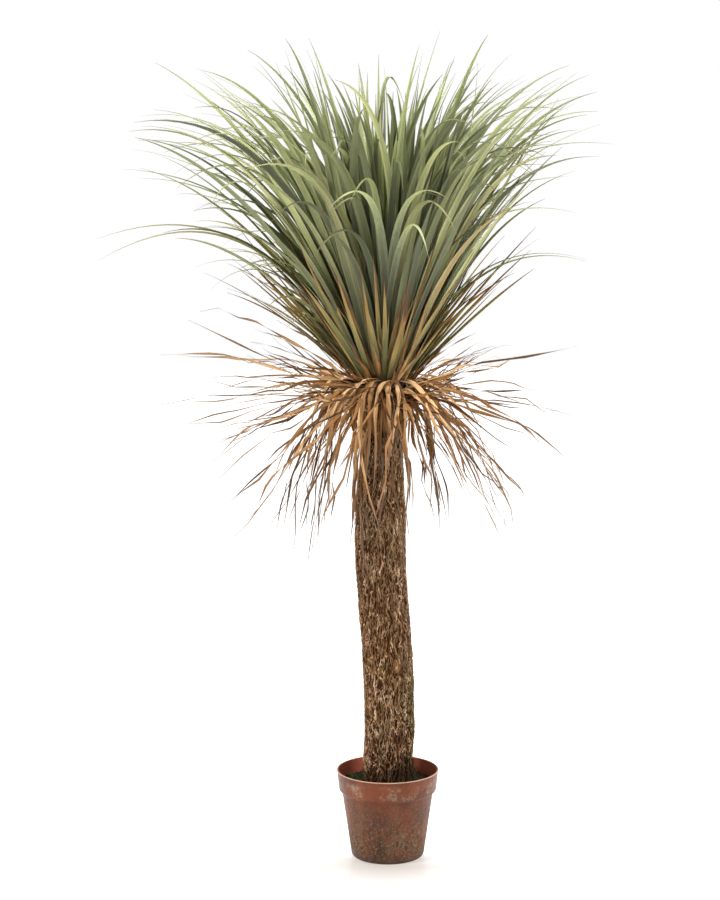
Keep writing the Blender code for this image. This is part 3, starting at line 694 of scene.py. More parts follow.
def floor_finish(settings):
    """Matt white sweep with the faintest unevenness, lit through from behind so that it stays white, with a
    painted shadow just in front of the pot.
    """
    material, tree, shader = new_finish("white_sweep", specular=0.5, roughness=0.28)
    shader["Emission Color"].default_value = (1.0, 0.985, 0.965, 1.0)
    place = on_object(tree)
    aside, back = place.length(), place.axis(1)
    glow = aside.spread(0.22, 1.40, 0.0, 0.60).maths("MAXIMUM", back.spread(-0.08, 0.12, 0.0, 0.60))
    give(shader["Emission Strength"], glow)
    white = settings.floor_colour
    colour = mixed(place.noise(1.5, 2.0), white, [0.985 * c for c in white])
    # A painted shadow: the floor darkens close in front of the pot.
    near = aside.spread(0.065, 0.270, 1.0, 0.0) * back.spread(0.0, -0.07)
    dress(shader, mixed(near, colour, [c * shade for c, shade in zip(white, (0.54, 0.50, 0.46))]))
    return material


# Geometry trees


def new_shape_tree(name, inputs):
    """A geometry tree that takes the inputs and a finish."""
    return new_group(name, "GeometryNodeTree", (*inputs, ("Finish", "Material")), (("Geometry", "Geometry"),))


def finished(geometry, finish, results):
    """Ends a tree with Realize Instances, smooth shading and Set Material, and returns it."""
    tree = geometry.tree
    real = put(tree, "GeometryNodeRealizeInstances", {"Geometry": geometry})
    smooth = put(tree, "GeometryNodeSetShadeSmooth", {"Geometry": real})
    give(results["Geometry"], put(tree, "GeometryNodeSetMaterial", {"Geometry": smooth, "Material": finish}))
    return tree


def named(tree, name, kind="FLOAT"):
    """What the points say under this name."""
    return put(tree, "GeometryNodeInputNamedAttribute", {"Name": name}, data_type=kind)


def stored(geometry, name, value, kind="FLOAT"):
    """The geometry with a value kept on its points under this name."""
    inputs = {"Geometry": geometry, "Name": name, "Value": value}
    return put(geometry.tree, "GeometryNodeStoreNamedAttribute", inputs, data_type=kind, domain="POINT")


def sweep_tree(name):
    """Sweeps a channelled, closed blade section along each line, as wide as the line's half_width says."""
    inputs = (
        ("Lines", "Geometry"),
        ("Section Points", "Int", 10),
        ("Thickness Share", "Float", 0.06),
        ("Channel", "Float", 0.3),
        ("Fold", "Float", 1.3),
    )
    tree, given, results = new_shape_tree(name, inputs)
    line = put(tree, "GeometryNodeMeshToCurve", {"Mesh": given["Lines"]})
    side = named(tree, "side", "FLOAT_VECTOR")
    turned = put(tree, "GeometryNodeSetCurveNormal", {"Curve": line, "Normal": side}, mode="FREE")
    sizes = {"Resolution": given["Section Points"], "Radius": 1.0}
    ring = put(tree, "GeometryNodeCurvePrimitiveCircle", sizes)
    place = put(tree, "GeometryNodeInputPosition")
    across = place.axis(0)
    hollow = across.absolute().maths("POWER", given["Fold"]) * given["Channel"]
    height = place.axis(1) * given["Thickness Share"] - hollow
    section = put(tree, "ShaderNodeCombineXYZ", {0: across, 1: height})
    moved = {"Geometry": stored(ring, "across", across), "Position": section}
    shaped = put(tree, "GeometryNodeSetPosition", moved)
    parts = {"Curve": turned, "Profile Curve": shaped, "Scale": named(tree, "half_width"), "Fill Caps": True}
    return finished(put(tree, "GeometryNodeCurveToMesh", parts), given["Finish"], results)


def bark_tree(name):
    """Raises the strands and broad lumps of bark on a smooth stem, and keeps where each point lay before."""
    inputs = (
        ("Stem", "Geometry"),
        ("Ridge Depth", "Float", 0.003),
        ("Ridge Width", "Float", 0.009),
        ("Ridge Length", "Float", 0.034),
        ("Lump Depth", "Float", 0.002),
    )
    tree, given, results = new_shape_tree(name, inputs)
    place = put(tree, "GeometryNodeInputPosition")
    ridge = bark_strands(place, 1.0 / given["Ridge Width"], 1.0 / given["Ridge Length"])
    kept = stored(given["Stem"], "rest_place", place, "FLOAT_VECTOR")
    lumps = place.noise(17.0, 2.0) - 0.5
    raised = (ridge - 0.45) * given["Ridge Depth"] + lumps * given["Lump Depth"]
    raised = raised * named(tree, "rough")
    outwards = {0: put(tree, "GeometryNodeInputNormal"), 3: raised}
    offset = put(tree, "ShaderNodeVectorMath", outwards, operation="SCALE")
    moved = put(tree, "GeometryNodeSetPosition", {"Geometry": kept, "Offset": offset})
    return finished(moved, given["Finish"], results)


def scatter_tree(name, shape, lean):
    """Scatters a small shape over a surface, as densely as the surface's own attribute says."""
    inputs = (
        ("Surface", "Geometry"),
        ("Where", "String", "top"),
        ("Density", "Float", 60000.0),
        ("Apart", "Float", 0.002),
        ("Smallest", "Float", 0.5),
        ("Largest", "Float", 1.6),
        ("Seed", "Int", 5),
    )
    tree, given, results = new_shape_tree(name, inputs)
    spots = {
        "Mesh": given["Surface"],
        "Distance Min": given["Apart"],
        "Density Max": given["Density"],
        "Density Factor": named(tree, given["Where"]),
        "Seed": given["Seed"],
    }
    points = put(tree, "GeometryNodeDistributePointsOnFaces", spots, distribute_method="POISSON")
    turns = {"Min": (-lean, -lean, -math.pi), "Max": (lean, lean, math.pi), "Seed": 3}
    turn = put(tree, "FunctionNodeRandomValue", turns, data_type="FLOAT_VECTOR")
    sizes = {2: given["Smallest"], 3: given["Largest"], "Seed": 8}
    size = put(tree, "FunctionNodeRandomValue", sizes, 1, data_type="FLOAT")
    copies = {"Points": points, "Instance": put(tree, *shape), "Rotation": turn, "Scale": size}
    return finished(put(tree, "GeometryNodeInstanceOnPoints", copies), given["Finish"], results)


def show(name, mesh):
    made = bpy.data.objects.new(name, mesh)
    bpy.context.scene.collection.objects.link(made)
    return made


def evaluated(source):
    """The plain mesh that an object's modifiers make of it."""
    bpy.context.view_layer.update()
    graph = bpy.context.evaluated_depsgraph_get()
    mesh = bpy.data.meshes.new_from_object(source.evaluated_get(graph))
    source.modifiers.clear()
    return mesh


def grown(name, source, tree, values):
    """The plain mesh object that a geometry tree makes from a source object, which is then removed."""
    modifier = source.modifiers.new(tree.name, "NODES")
    modifier.node_group = tree
    for item in tree.interface.items_tree:
        if item.item_type == "SOCKET" and item.in_out == "INPUT" and item.name in values:
            modifier[item.identifier] = values[item.name]
    mesh = evaluated(source)
    bpy.data.objects.remove(source, do_unlink=True)
    if not mesh.polygons:
        raise RuntimeError(f"{name} came out empty")
    mesh.name = name
    return show(name, mesh)


def seated(piece, slot, *nodes):
    """Rides the piece on the plant's one body and lets it stand for its frame nodes. Its slot is not used."""
    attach(piece, "root")
    if nodes:
        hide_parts(*nodes)
    return piece


def mark(mesh, name, values, kind="FLOAT"):
    """Writes values on a mesh's points under a name."""
    field = "vector" if kind == "FLOAT_VECTOR" else "value"
    mesh.attributes.new(name, kind, "POINT").data.foreach_set(field, values)


def line_mesh(name, lines):
    """Loose lines as one mesh, with the side, widths, shade and age of each on its points."""
    mesh = bpy.data.meshes.new(name)
    points, edges = [], []
    marks = {"half_width": [], "along": [], "shade": [], "age": []}
    for line in lines:
        first, count = len(points), len(line["points"])
        points.extend(line["points"])
        edges.extend((first + k, first + k + 1) for k in range(count - 1))
        for label, values in marks.items():
            value = line[label]
            values.extend(value if isinstance(value, list) else [value] * count)
    mesh.from_pydata(points, edges, [])
    mark(mesh, "side", [c for line in lines for side in line["side"] for c in side], "FLOAT_VECTOR")
    for label, values in marks.items():
        mark(mesh, label, values)
    return show(name, mesh)


def section_of(points, thickness, channel, finish):
    """The sizes and finish of a swept blade's section."""
    return {"Section Points": points, "Thickness Share": thickness, "Channel": channel, "Finish": finish}


def swept(name, lines, section, slot, *nodes):
    """A seated piece of blades swept along lines."""
    piece = grown(name, line_mesh(name + "_lines", lines), shared("blade_sweep", sweep_tree), section)
    return seated(piece, slot, *nodes)


# Shapes


def circle(sides):
    """The cosine and sine at even steps round a circle."""
    angles = [2 * math.pi * k / sides for k in range(sides)]
    return [(math.cos(a), math.sin(a)) for a in angles]


def skinned(name, rings):
    """A closed mesh over a row of rings, each of as many points or of one."""
    bm = bmesh.new()
    loops = [[bm.verts.new(point) for point in ring] for ring in rings]
    sides = max(len(loop) for loop in loops)
    for low, high in zip(loops, loops[1:]):
        for k in range(sides):
            n = (k + 1) % sides
            corners = [low[k % len(low)], low[n % len(low)], high[n % len(high)], high[k % len(high)]]
            bm.faces.new(list(dict.fromkeys(corners)))
    for end in (loops[0][::-1], loops[-1]):
        if len(end) > 1:
            bm.faces.new(end)
    bmesh.ops.recalc_face_normals(bm, faces=bm.faces)
    mesh = bpy.data.meshes.new(name)
    bm.to_mesh(mesh)
    bm.free()
    return mesh


def lathe(name, profile, sides):
    """A closed turned mesh from an outline of (radius, height) points that starts and ends on the axis."""
    rings = []
    for radius, height in profile:
        ring = [(radius * c, radius * s, height) for c, s in circle(sides)]
        rings.append(ring if radius >= ON_AXIS else [(0.0, 0.0, height)])
    return skinned(name, rings)


def arc(start, bend, tip, stations):
    """Points on the curve that leaves its start towards the bend and comes from there to its tip."""
    return [start * (1 - t) ** 2 + bend * 2 * t * (1 - t) + tip * t**2 for t in stations]


def rounded(profile, reach, steps=4):
    """The outline with each inner corner rounded off."""
    made = [Vector(profile[0])]
    for before, corner, after in zip(profile, profile[1:], profile[2:]):
        before, corner, after = Vector(before), Vector(corner), Vector(after)
        cut = min(reach, (before - corner).length * 0.45, (after - corner).length * 0.45)
        start = corner + (before - corner).normalized() * cut
        end = corner + (after - corner).normalized() * cut
        made.extend(arc(start, corner, end, shares(steps)))
    made.append(Vector(profile[-1]))
    return made


def arched(root, azimuth, rise, length, droop, sway, bend_at, stations):
    """Points along a leaf that leaves its root straight and then bends over and aside."""
    bend = root + direction(azimuth, rise) * length * bend_at
    tip = bend + direction(azimuth + sway, rise - droop) * length * (1 - bend_at)
    return arc(root, bend, tip, stations)


def leaf_width(t):
    """The share of a leaf's full width at t along it: waisted at the root, drawn out to a fine tip."""
    return min(1.0, 0.44 + 1.8 * t) * (1 - t**1.7)


def strip_width(t):
    """The share of a dried strip's width at t: ragged, and pinched at both ends."""
    return min(1.0, 0.75 + 2.0 * t) * (1 - 0.58 * t) * (1 - t**7.0) * (0.80 + 0.20 * math.sin(26 * t))


def blade_line(points, azimuth, half_width, twist, shade, age, width=leaf_width):
    """A leaf's line: its points, the way its width lies at each, its half widths, shade and age."""
    flat = direction(azimuth + 90, 0)
    last = len(points) - 1
    sides, widths = [], []
    for k, t in enumerate(shares(last)):
        along = (points[min(k + 1, last)] - points[max(k - 1, 0)]).normalized()
        side = (flat - along * flat.dot(along)).normalized()
        side.rotate(Matrix.Rotation(math.radians(twist) * t, 3, along))
        sides.append(side)
        widths.append(max(half_width * width(t), THINNEST))
    line = {"points": points, "side": sides, "half_width": widths}
    return {**line, "along": shares(last), "shade": shade, "age": age}


def strip(points, azimuth, half_width, twist, shade):
    """The line of a dried strip."""
    return blade_line(points, azimuth, half_width, twist, shade, 1.0, strip_width)


def heart_root(azimuth, polar):
    """A point on the heart's surface, at an angle down from its top."""
    a, p = math.radians(azimuth), math.radians(polar)
    reach = HEART_RADIUS * math.sin(p)
    return HEART_CENTRE + Vector((reach * math.cos(a), reach * math.sin(a), HEART_HALF_HEIGHT * math.cos(p)))


def leaf_root(azimuth, polar, rise):
    """A leaf's root, sunk into the heart against the way the leaf grows."""
    return heart_root(azimuth, polar) - direction(azimuth, rise) * ROOT_SINK


def green_leaf_shapes(count, seed, half_width, standouts=(), ages=(0.0, 1.0)):
    """(root, azimuth, rise, length, droop, sway, bend, half width, twist, age) of leaves, inmost first."""
    draw = random.Random(seed)
    lowest = math.cos(math.radians(GREEN_OUTER_POLAR))
    shapes = []
    for k in range(count):
        age = mix(ages, (k + 0.5) / count)
        polar = math.degrees(math.acos(1 - (1 - lowest) * age))
        azimuth = spiral(k) + draw.uniform(-4, 4)
        lean = GREEN_LEAN * age * math.cos(math.radians(azimuth))
        rise = mix(GREEN_RISE, age**0.9) + lean + draw.uniform(-3, 3)
        length = curve_through(GREEN_LENGTH, age) + draw.uniform(-0.06, 0.02)
        droop = curve_through(GREEN_DROOP, age) + draw.uniform(-GREEN_DROOP_STRAY, GREEN_DROOP_STRAY)
        sway = draw.uniform(-GREEN_SWAY, GREEN_SWAY)
        width = half_width * draw.uniform(0.86, 1.1)
        twist = draw.uniform(-GREEN_TWIST, GREEN_TWIST)
        root = leaf_root(azimuth, polar, rise)
        tip_rise = math.radians(rise - droop)
        reach = GREEN_BEND_AT * math.sin(math.radians(rise)) + (1 - GREEN_BEND_AT) * math.sin(tip_rise)
        length = min(length, (draw.uniform(*GREEN_CEILING) - root.z) / reach)
        shapes.append((root, azimuth, rise, length, droop, sway, GREEN_BEND_AT, width, twist, age))
    for azimuth, rise, length, droop, sway in standouts:
        share = min(1.0, (90 - rise) / (90 - STANDOUT_OUTER_RISE))
        root = leaf_root(azimuth, GREEN_OUTER_POLAR * share, rise)
        shapes.append((root, azimuth, rise, length, droop, sway, BEND_AT, half_width, 0.0, share))
    return shapes


def right_side_shapes(count, seed, half_width):
    """Green leaves that fill the right side of the head, which is fuller and steeper than the left."""
    draw = random.Random(seed)
    shapes = []
    for _ in range(count):
        azimuth, rise = draw.gauss(0, 32), draw.uniform(53, 64)
        root = leaf_root(azimuth, draw.uniform(70, 108), rise)
        length, droop, sway = draw.uniform(0.34, 0.60), draw.uniform(4, 34), draw.uniform(-10, 10)
        width, twist = half_width * draw.uniform(0.7, 1.05), draw.uniform(-GREEN_TWIST, GREEN_TWIST)
        age = draw.uniform(0.45, 0.95)
        shapes.append((root, azimuth, rise, length, droop, sway, GREEN_BEND_AT, width, twist, age))
    return shapes


def kept_in_head(shape):
    """The leaf with its rise and length changed where its tip would stand out of the head's outline."""
    root, azimuth, rise, length, droop, sway, bend_at, width, twist, age = shape
    sway, droop, length = sway * EXTRA_SWAY, droop * EXTRA_DROOP + EXTRA_BEND, length * EXTRA_LENGTH
    for _ in range(HEAD_FITTINGS):
        tip = arched(root, azimuth, rise, length, droop, sway, bend_at, (1.0,))[0] - HEAD_MIDDLE
        aside = math.degrees(math.atan2(tip.x, tip.z))
        rise += HEAD_EDGE_LIFT * max(0.0, aside - HEAD_EDGE_RIGHT)
        length *= min(1.0, curve_through(HEAD_REACH, aside) / math.hypot(tip.x, tip.z))
        length *= min(1.0, HEAD_DEPTH / max(abs(tip.y), 0.1))
    return root, azimuth, rise, length, droop, sway, bend_at, width, twist, age


def green_lines(shapes, seed, steps):
    """Lines for green leaves, with a slight waver along each."""
    draw = random.Random(seed)
    stations = shares(steps)
    lines = []
    for *shape, width, twist, age in shapes:
        points = arched(*shape, stations)
        azimuth = shape[1]
        across = direction(azimuth + 90, 0)
        width *= draw.uniform(0.70, 1.08)
        reach, beat, start = draw.uniform(0.0, 0.006), draw.uniform(2.0, 5.0), draw.uniform(0.0, 6.28)
        points = [p + across * reach * t * math.sin(start + beat * t) for p, t in zip(points, stations)]
        lines.append(blade_line(points, azimuth, width, twist, draw.random(), age))
    return lines


def bent_lines(steps):
    """Lines for the few leaves that fold over or stand apart from the rest."""
    stations = shares(steps)
    lines = []
    for azimuth, polar, bend, tip, width, lightness in BENT_LEAVES:
        points = arc(heart_root(azimuth, polar), Vector(bend), Vector(tip), stations)
        # Each bent leaf runs from dark low down to its lightness towards the tip: partly its pale folded
        # underside, partly painted shade low in the head.
        shades = [mix((0.20, lightness), smooth_step(0.30, 0.80, t)) for t in stations]
        lines.append(blade_line(points, azimuth, width, 0.0, shades, 0.3))
    return lines


def yellow_shapes():
    """The yellowing leaves of the frame, each the clearest of a few tries from the green leaves above it."""
    draw = random.Random(YELLOW_SEED)
    centre = trunk_centre(sum(YELLOW_SHEATH) / 2)
    fine = shares(YELLOW_FINE_STEPS)
    outer_green = green_leaf_shapes(GREEN_LEAVES, GREEN_SEED, 1.0, STANDOUT_LEAVES)[GREEN_LEAVES // 3 :]
    green = [point for shape in outer_green for point in arched(*shape[:7], fine)[YELLOW_ROOT_STEPS:]]
    shapes = []
    for k in range(YELLOW_LEAVES):
        tries = []
        for _ in range(YELLOW_TRIES):
            azimuth, rise = spiral(k) + draw.uniform(-8, 8), draw.uniform(*YELLOW_RISE)
            length, droop, sway = draw.uniform(*YELLOW_LENGTH), draw.uniform(-6, 20), draw.uniform(-12, 12)
            root = centre + direction(azimuth, 0) * YELLOW_ROOT_RADIUS
            shape = (root, azimuth, rise, length, droop, sway, BEND_AT)
            line = arched(*shape, fine)[YELLOW_ROOT_STEPS:]
            tries.append((min((p - q).length for p in line for q in green), shape))
        shape = max(tries, key=lambda one: one[0])[1]
        shapes.append((*shape, draw.uniform(0.8, 1.1), draw.uniform(-50, 50)))
    return shapes


def yellow_lines(half_width):
    """Lines for the frame's yellowing leaves."""
    draw = random.Random(YELLOW_LINE_SEED)
    lines = []
    for *shape, share, twist in yellow_shapes():
        points = arched(*shape, shares(16))
        lines.append(blade_line(points, shape[1], half_width * share, twist * 1.5, draw.random(), 1.0))
    return lines


def dying_lines(count, seed, half_width):
    """Thin leaves that dry out where they stand, all round under the living ones and bunched at each side."""
    draw = random.Random(seed)
    shapes = []
    for k in range(count):
        azimuth = spiral(k) + draw.uniform(-9, 9)
        to_right, to_front = math.cos(math.radians(azimuth)), -math.sin(math.radians(azimuth))
        rise = draw.uniform(*EXTRA_YELLOW_RISE) + EXTRA_YELLOW_LEAN * to_right
        rise = max(rise, EXTRA_YELLOW_RISE_RIGHT) if to_right > 0.4 else rise
        shapes.append((azimuth, rise, draw.uniform(*EXTRA_YELLOW_LENGTH) * (1 - 0.25 * max(0.0, to_front))))
    for middle, aside, slope, stray, length, bunch in YELLOW_BUNCHES:
        for _ in range(bunch):
            rise = slope + draw.uniform(-stray, stray)
            shapes.append((middle + draw.uniform(-aside, aside), rise, length * draw.uniform(0.7, 1.1)))
    lines = []
    for azimuth, rise, length in shapes:
        root = by_trunk(draw.uniform(0.888, 0.905), azimuth, NECK_ROOT_RADIUS)
        droop, sway = draw.uniform(-8, 34), draw.uniform(-20, 20)
        points = arched(root, azimuth, rise, length, droop, sway, BEND_AT, shares(18))
        width = half_width * draw.uniform(0.45, 1.15)
        lines.append(blade_line(points, azimuth, width, draw.uniform(-90, 90), draw.random(), 1.0))
    return lines


def clear_of_trunk(point, clearance=DRY_CLEAR_OF_TRUNK):
    """The point moved straight out from the trunk's axis if it lies too near the bark."""
    centre = trunk_centre(point.z)
    out = (point - centre).to_2d()
    reach = curve_through(TRUNK_RADIUS, point.z) + clearance
    if out.length < reach:
        out = out.normalized() * reach
    return Vector((centre.x + out.x, centre.y + out.y, point.z))


def crumpled(root, azimuth, slope, length, draw):
    """Points along a dried leaf: straight legs between kinks that curl over towards its general slope."""
    points = [root, root + direction(azimuth, draw.uniform(*DRY_RISE_AT_ROOT)) * length * DRY_LEGS[0]]
    turn, gone = azimuth, DRY_LEGS[0]
    for leg in DRY_LEGS[1:]:
        rise = slope + DRY_CURL * (0.6 - gone) + draw.uniform(-DRY_KINK, DRY_KINK)
        turn += draw.uniform(-DRY_KINK, DRY_KINK)
        step = direction(turn, max(DRY_STEEPEST, rise)) * length * leg
        points.append(clear_of_trunk(points[-1] + step))
        gone += leg
    return points


def dry_shapes(count, seed, wander, steepest=1.0):
    """(points, azimuth, width share, twist) of dried leaves down the sheath."""
    low, high = DRY_SHEATH
    draw = random.Random(seed)
    shapes = []
    for k in range(count):
        age = (k + 0.5) / count
        azimuth = spiral(k) + draw.uniform(-5, 5)
        slope = mix(DRY_SPREAD, min(1.0, max(0.0, age + draw.uniform(-wander, wander))) * steepest)
        slope -= DRY_LEAN * math.cos(math.radians(azimuth))
        length, share, twist = draw.uniform(*DRY_LENGTH), draw.uniform(0.7, 1.2), draw.uniform(-70, 70)
        height = mix((high - DRY_ROOT_SINK, low + DRY_ROOT_SINK), age)
        root = by_trunk(height, azimuth, DRY_SHEATH_RADIUS - DRY_ROOT_SINK)
        shapes.append((crumpled(root, azimuth, slope, length, draw), azimuth, share, twist))
    return shapes


def softened(points, per_leg, passes=1):
    """The run of points with more points a leg, and its corners eased by each pass."""
    fine = [a.lerp(b, k / per_leg) for a, b in zip(points, points[1:]) for k in range(per_leg)]
    fine.append(points[-1])
    for _ in range(passes):
        eased = [b * 0.5 + (a + c) * 0.25 for a, b, c in zip(fine, fine[1:], fine[2:])]
        fine = [fine[0], *eased, fine[-1]]
    return fine


def kinked(points, reach, draw):
    """The line with sharp kinks every few points and straight stretches between them."""
    corners, offsets = [0], [Vector()]
    while corners[-1] < len(points) - 1:
        corners.append(min(corners[-1] + draw.randint(2, 4), len(points) - 1))
        offsets.append(Vector([draw.uniform(-reach, reach) for _ in range(3)]))
    made = []
    for a, b, start, end in zip(corners, corners[1:], offsets, offsets[1:]):
        made.extend(points[k] + start.lerp(end, (k - a) / (b - a)) for k in range(a, b))
    return [*made, points[-1] + offsets[-1]]


def dry_lines(shapes, half_width, seed):
    """Lines for dried leaves: kinked, twisted, and darker where they hang close to the trunk, as painted
    shade.
    """
    draw = random.Random(seed)
    lines = []
    for points, azimuth, share, twist in shapes:
        fine = kinked(softened(points, 5), draw.uniform(0.004, 0.009), draw)
        turn = math.copysign(draw.uniform(120, 900), twist)
        # Strips that hang steeply against the trunk get lower shades: painted shade behind the outer strips.
        steep = (points[0] - points[-1]).normalized().z
        shade = draw.random() * (1 - 0.60 * smooth_step(0.70, 0.95, steep))
        lines.append(strip(fine, azimuth, half_width * share, turn, shade))
    return lines


def fan_lines(seed, half_width):
    """Dried strips in a few bunches."""
    draw = random.Random(seed)
    shapes = []
    for middle, aside, slope, stray, length, count in DRY_EXTRA_FANS:
        for _ in range(count):
            azimuth = middle + draw.uniform(-aside, aside)
            root = by_trunk(draw.uniform(0.842, 0.886), azimuth, NECK_ROOT_RADIUS)
            fall, reach = slope + draw.uniform(-stray, stray), length * draw.uniform(0.75, 1.15)
            run = crumpled(root, azimuth, fall, reach, draw)
            shapes.append((run, azimuth, draw.uniform(0.6, 1.1), draw.uniform(-70, 70)))
    return dry_lines(shapes, half_width, seed + 1)


def front_wreath_lines(seed):
    """The broad strips that curl over the top of the neck in front."""
    draw = random.Random(seed)
    lines = []
    for width, *run in WREATH_STRIPS:
        points = [Vector((x, -out, z)) for x, out, z in run]
        azimuth = math.degrees(math.atan2(points[1].y, points[1].x))
        line = kinked(softened(points, 6, 8), 0.0012, draw)
        # High shades keep these strips pale: partly bleached leaf, partly painted light on the outermost
        # layer.
        lines.append(strip(line, azimuth, width, draw.uniform(-60, 60), draw.uniform(0.55, 1.20)))
    return lines


def wreath_lines(count, seed, half_width):
    """Broad strips that rise from the top of the neck, curl over and hang down all round it."""
    draw = random.Random(seed)
    lines = []
    for k in range(count):
        azimuth = (325 + 250 * ((k * GOLDEN_ANGLE / (2 * math.pi)) % 1.0) + draw.uniform(-8, 8)) % 360
        root = by_trunk(draw.uniform(0.880, 0.900), azimuth, 0.036)
        out = draw.uniform(0.050, 0.100)
        crest = root + direction(azimuth + draw.uniform(-25, 25), draw.uniform(8, 36)) * out
        swing, fall = azimuth + draw.uniform(-75, 75), draw.uniform(0.04, 0.19)
        tip = root + direction(swing, 0) * (out * draw.uniform(0.8, 1.9)) - UP * fall
        points = arc(root, crest, tip, (0, 0.17, 0.33, 0.5, 0.67, 0.83, 1))
        points = [points[0], *(clear_of_trunk(p, 0.006) for p in points[1:])]
        # High shades keep these strips pale: partly bleached leaf, partly painted light on the outermost
        # layer.
        width, shade = half_width * draw.uniform(1.0, 2.1), draw.uniform(0.55, 1.15)
        turn = draw.uniform(-70, 70)
        lines.append(strip(kinked(softened(points, 4), 0.0015, draw), azimuth, width, turn, shade))
    return lines


def hanging_lines(count, seed, half_width):
    """Strips that hang close against the trunk, most of them on its front."""
    draw = random.Random(seed)
    lines = []
    for _ in range(count):
        azimuth = draw.gauss(236, 26)
        top, length = draw.uniform(0.855, 0.895), draw.uniform(0.10, 0.34)
        drift, lift = draw.uniform(-26, 26), draw.uniform(0.006, 0.024)
        points = [by_trunk(top, azimuth, NECK_ROOT_RADIUS)]
        for t in shares(7)[1:]:
            height = top - length * t
            swell = lift * math.sin(math.pi * min(1.0, 0.25 + 0.75 * t))
            out = curve_through(TRUNK_RADIUS, height) + swell + 0.004
            points.append(by_trunk(height, azimuth + drift * t + draw.uniform(-4, 4), out))
        width, shade = half_width * draw.uniform(0.5, 1.6), draw.uniform(0.05, 0.95)
        turn = draw.uniform(-240, 240)
        lines.append(strip(kinked(softened(points, 4), 0.0025, draw), azimuth, width, turn, shade))
    return lines


def base_lines(count, seed):
    """Broad bases of old leaves that lie like scales round the neck, kept dark: partly their own brown,
    partly painted shade behind the strips.
    """
    draw = random.Random(seed)
    lines = []
    for k in range(count):
        azimuth, z = spiral(k), mix((0.800, 0.892), k / count)
        points = []
        for t in shares(6):
            out = 0.0395 + 0.006 * t + 0.030 * max(0.0, t - 0.55) ** 1.5
            points.append(by_trunk(z, azimuth, out) + UP * (0.040 * t - 0.03 * max(0.0, t - 0.6)))
        # Low shades keep the bases dark: partly their own brown, partly painted shade behind the strips.
        width, turn, shade = draw.uniform(0.007, 0.011), draw.uniform(-15, 15), draw.uniform(0.0, 0.35)
        lines.append(strip(points, azimuth, width, turn, shade))
    return lines


def collar_lines(count, seed):
    """Short, broad, dark bases of old leaves that stand out round the foot of the head."""
    draw = random.Random(seed)
    lines = []
    for k in range(count):
        azimuth = spiral(k) + draw.uniform(-8, 8)
        root = by_trunk(draw.uniform(0.880, 0.896), azimuth, 0.042)
        rise, length = draw.uniform(34, 62), draw.uniform(0.06, 0.17)
        droop, sway = draw.uniform(-20, 30), draw.uniform(-35, 35)
        points = arched(root, azimuth, rise, length, droop, sway, BEND_AT, shares(9))
        width, turn = draw.uniform(0.0030, 0.0062), draw.uniform(-120, 120)
        lines.append(strip(kinked(points, 0.003, draw), azimuth, width, turn, draw.uniform(0.05, 0.75)))
    return lines


def fibre_lines(count, seed):
    """Loose fibres that lie up the bark and lift off at their upper ends."""
    draw = random.Random(seed)
    lines = []
    for _ in range(count):
        z, azimuth, length = draw.uniform(0.160, 0.800), draw.uniform(0, 360), draw.uniform(0.012, 0.045)
        lean, lift = draw.uniform(-9, 9), draw.uniform(0.0006, 0.0030)
        points = []
        for t in shares(FIBRE_STEPS):
            height = z + length * t
            angle = azimuth + lean * (t - 0.5) + 3.5 * math.sin(6 * t + azimuth)
            out = curve_through(TRUNK_RADIUS, height) + 0.0004 + lift * t * t
            points.append(by_trunk(height, angle, out))
        width = draw.uniform(0.0005, 0.0013)
        lines.append(strip(points, azimuth, width, draw.uniform(-30, 30), draw.random()))
    return lines


def foot_lines(count, seed):
    """Dark, shaggy fibres round the trunk's foot that splay out over the soil, their darkness partly their
    own and partly painted shade.
    """
    draw = random.Random(seed)
    lines = []
    for _ in range(count):
        azimuth = draw.uniform(0, 360)
        top = draw.uniform(0.146, 0.172) + 0.020 * max(0.0, math.cos(math.radians(azimuth + 25)))
        out, drift = draw.uniform(0.001, 0.017), draw.uniform(-22, 22)
        points = []
        for t in shares(FIBRE_STEPS):
            reach = curve_through(TRUNK_RADIUS, top) + 0.0015 + out * t**1.6
            height = mix((top, 0.1400), t) + 0.004 * math.sin(math.pi * t)
            points.append(by_trunk(top, azimuth + drift * t * t, reach) + UP * (height - top))
        width = draw.uniform(0.0005, 0.0012)
        # Shades down to below zero keep most fibres near black: partly their own dark, partly painted shade
        # down by the pot's rim.
        lines.append(strip(points, azimuth, width, draw.uniform(-60, 60), draw.uniform(-0.7, 0.35)))
    return lines


def soil_height(x, y, top):
    """The lumpy, slightly mounded top of the soil."""
    radius = math.hypot(x, y)
    mound = 0.004 * max(0.0, 1 - (radius - 0.046) / 0.042) ** 2
    lumps = math.sin(190 * x + 60 * y) * math.cos(150 * y - 70 * x) + 0.6 * math.sin(310 * y + 40)
    small = math.sin(520 * x + 3 * math.sin(300 * y)) * math.sin(610 * y + 2 * math.sin(270 * x))
    return top + mound + 0.0015 * lumps + 0.0011 * small


# Settings


def metres(name, description, default):
    return bpy.props.FloatProperty(
        name=name, description=description, default=default, subtype="DISTANCE", unit="LENGTH", precision=4
    )


def paint(name, description, default):
    return bpy.props.FloatVectorProperty(
        name=name, description=description, default=default, subtype="COLOR", size=3, min=0.0, max=1.0
    )


def count_of(name, description, default):
    return bpy.props.IntProperty(name=name, description=description, default=default, min=0, max=600)


def amount(name, description, default, **kind):
    return bpy.props.FloatProperty(name=name, description=description, default=default, **kind)


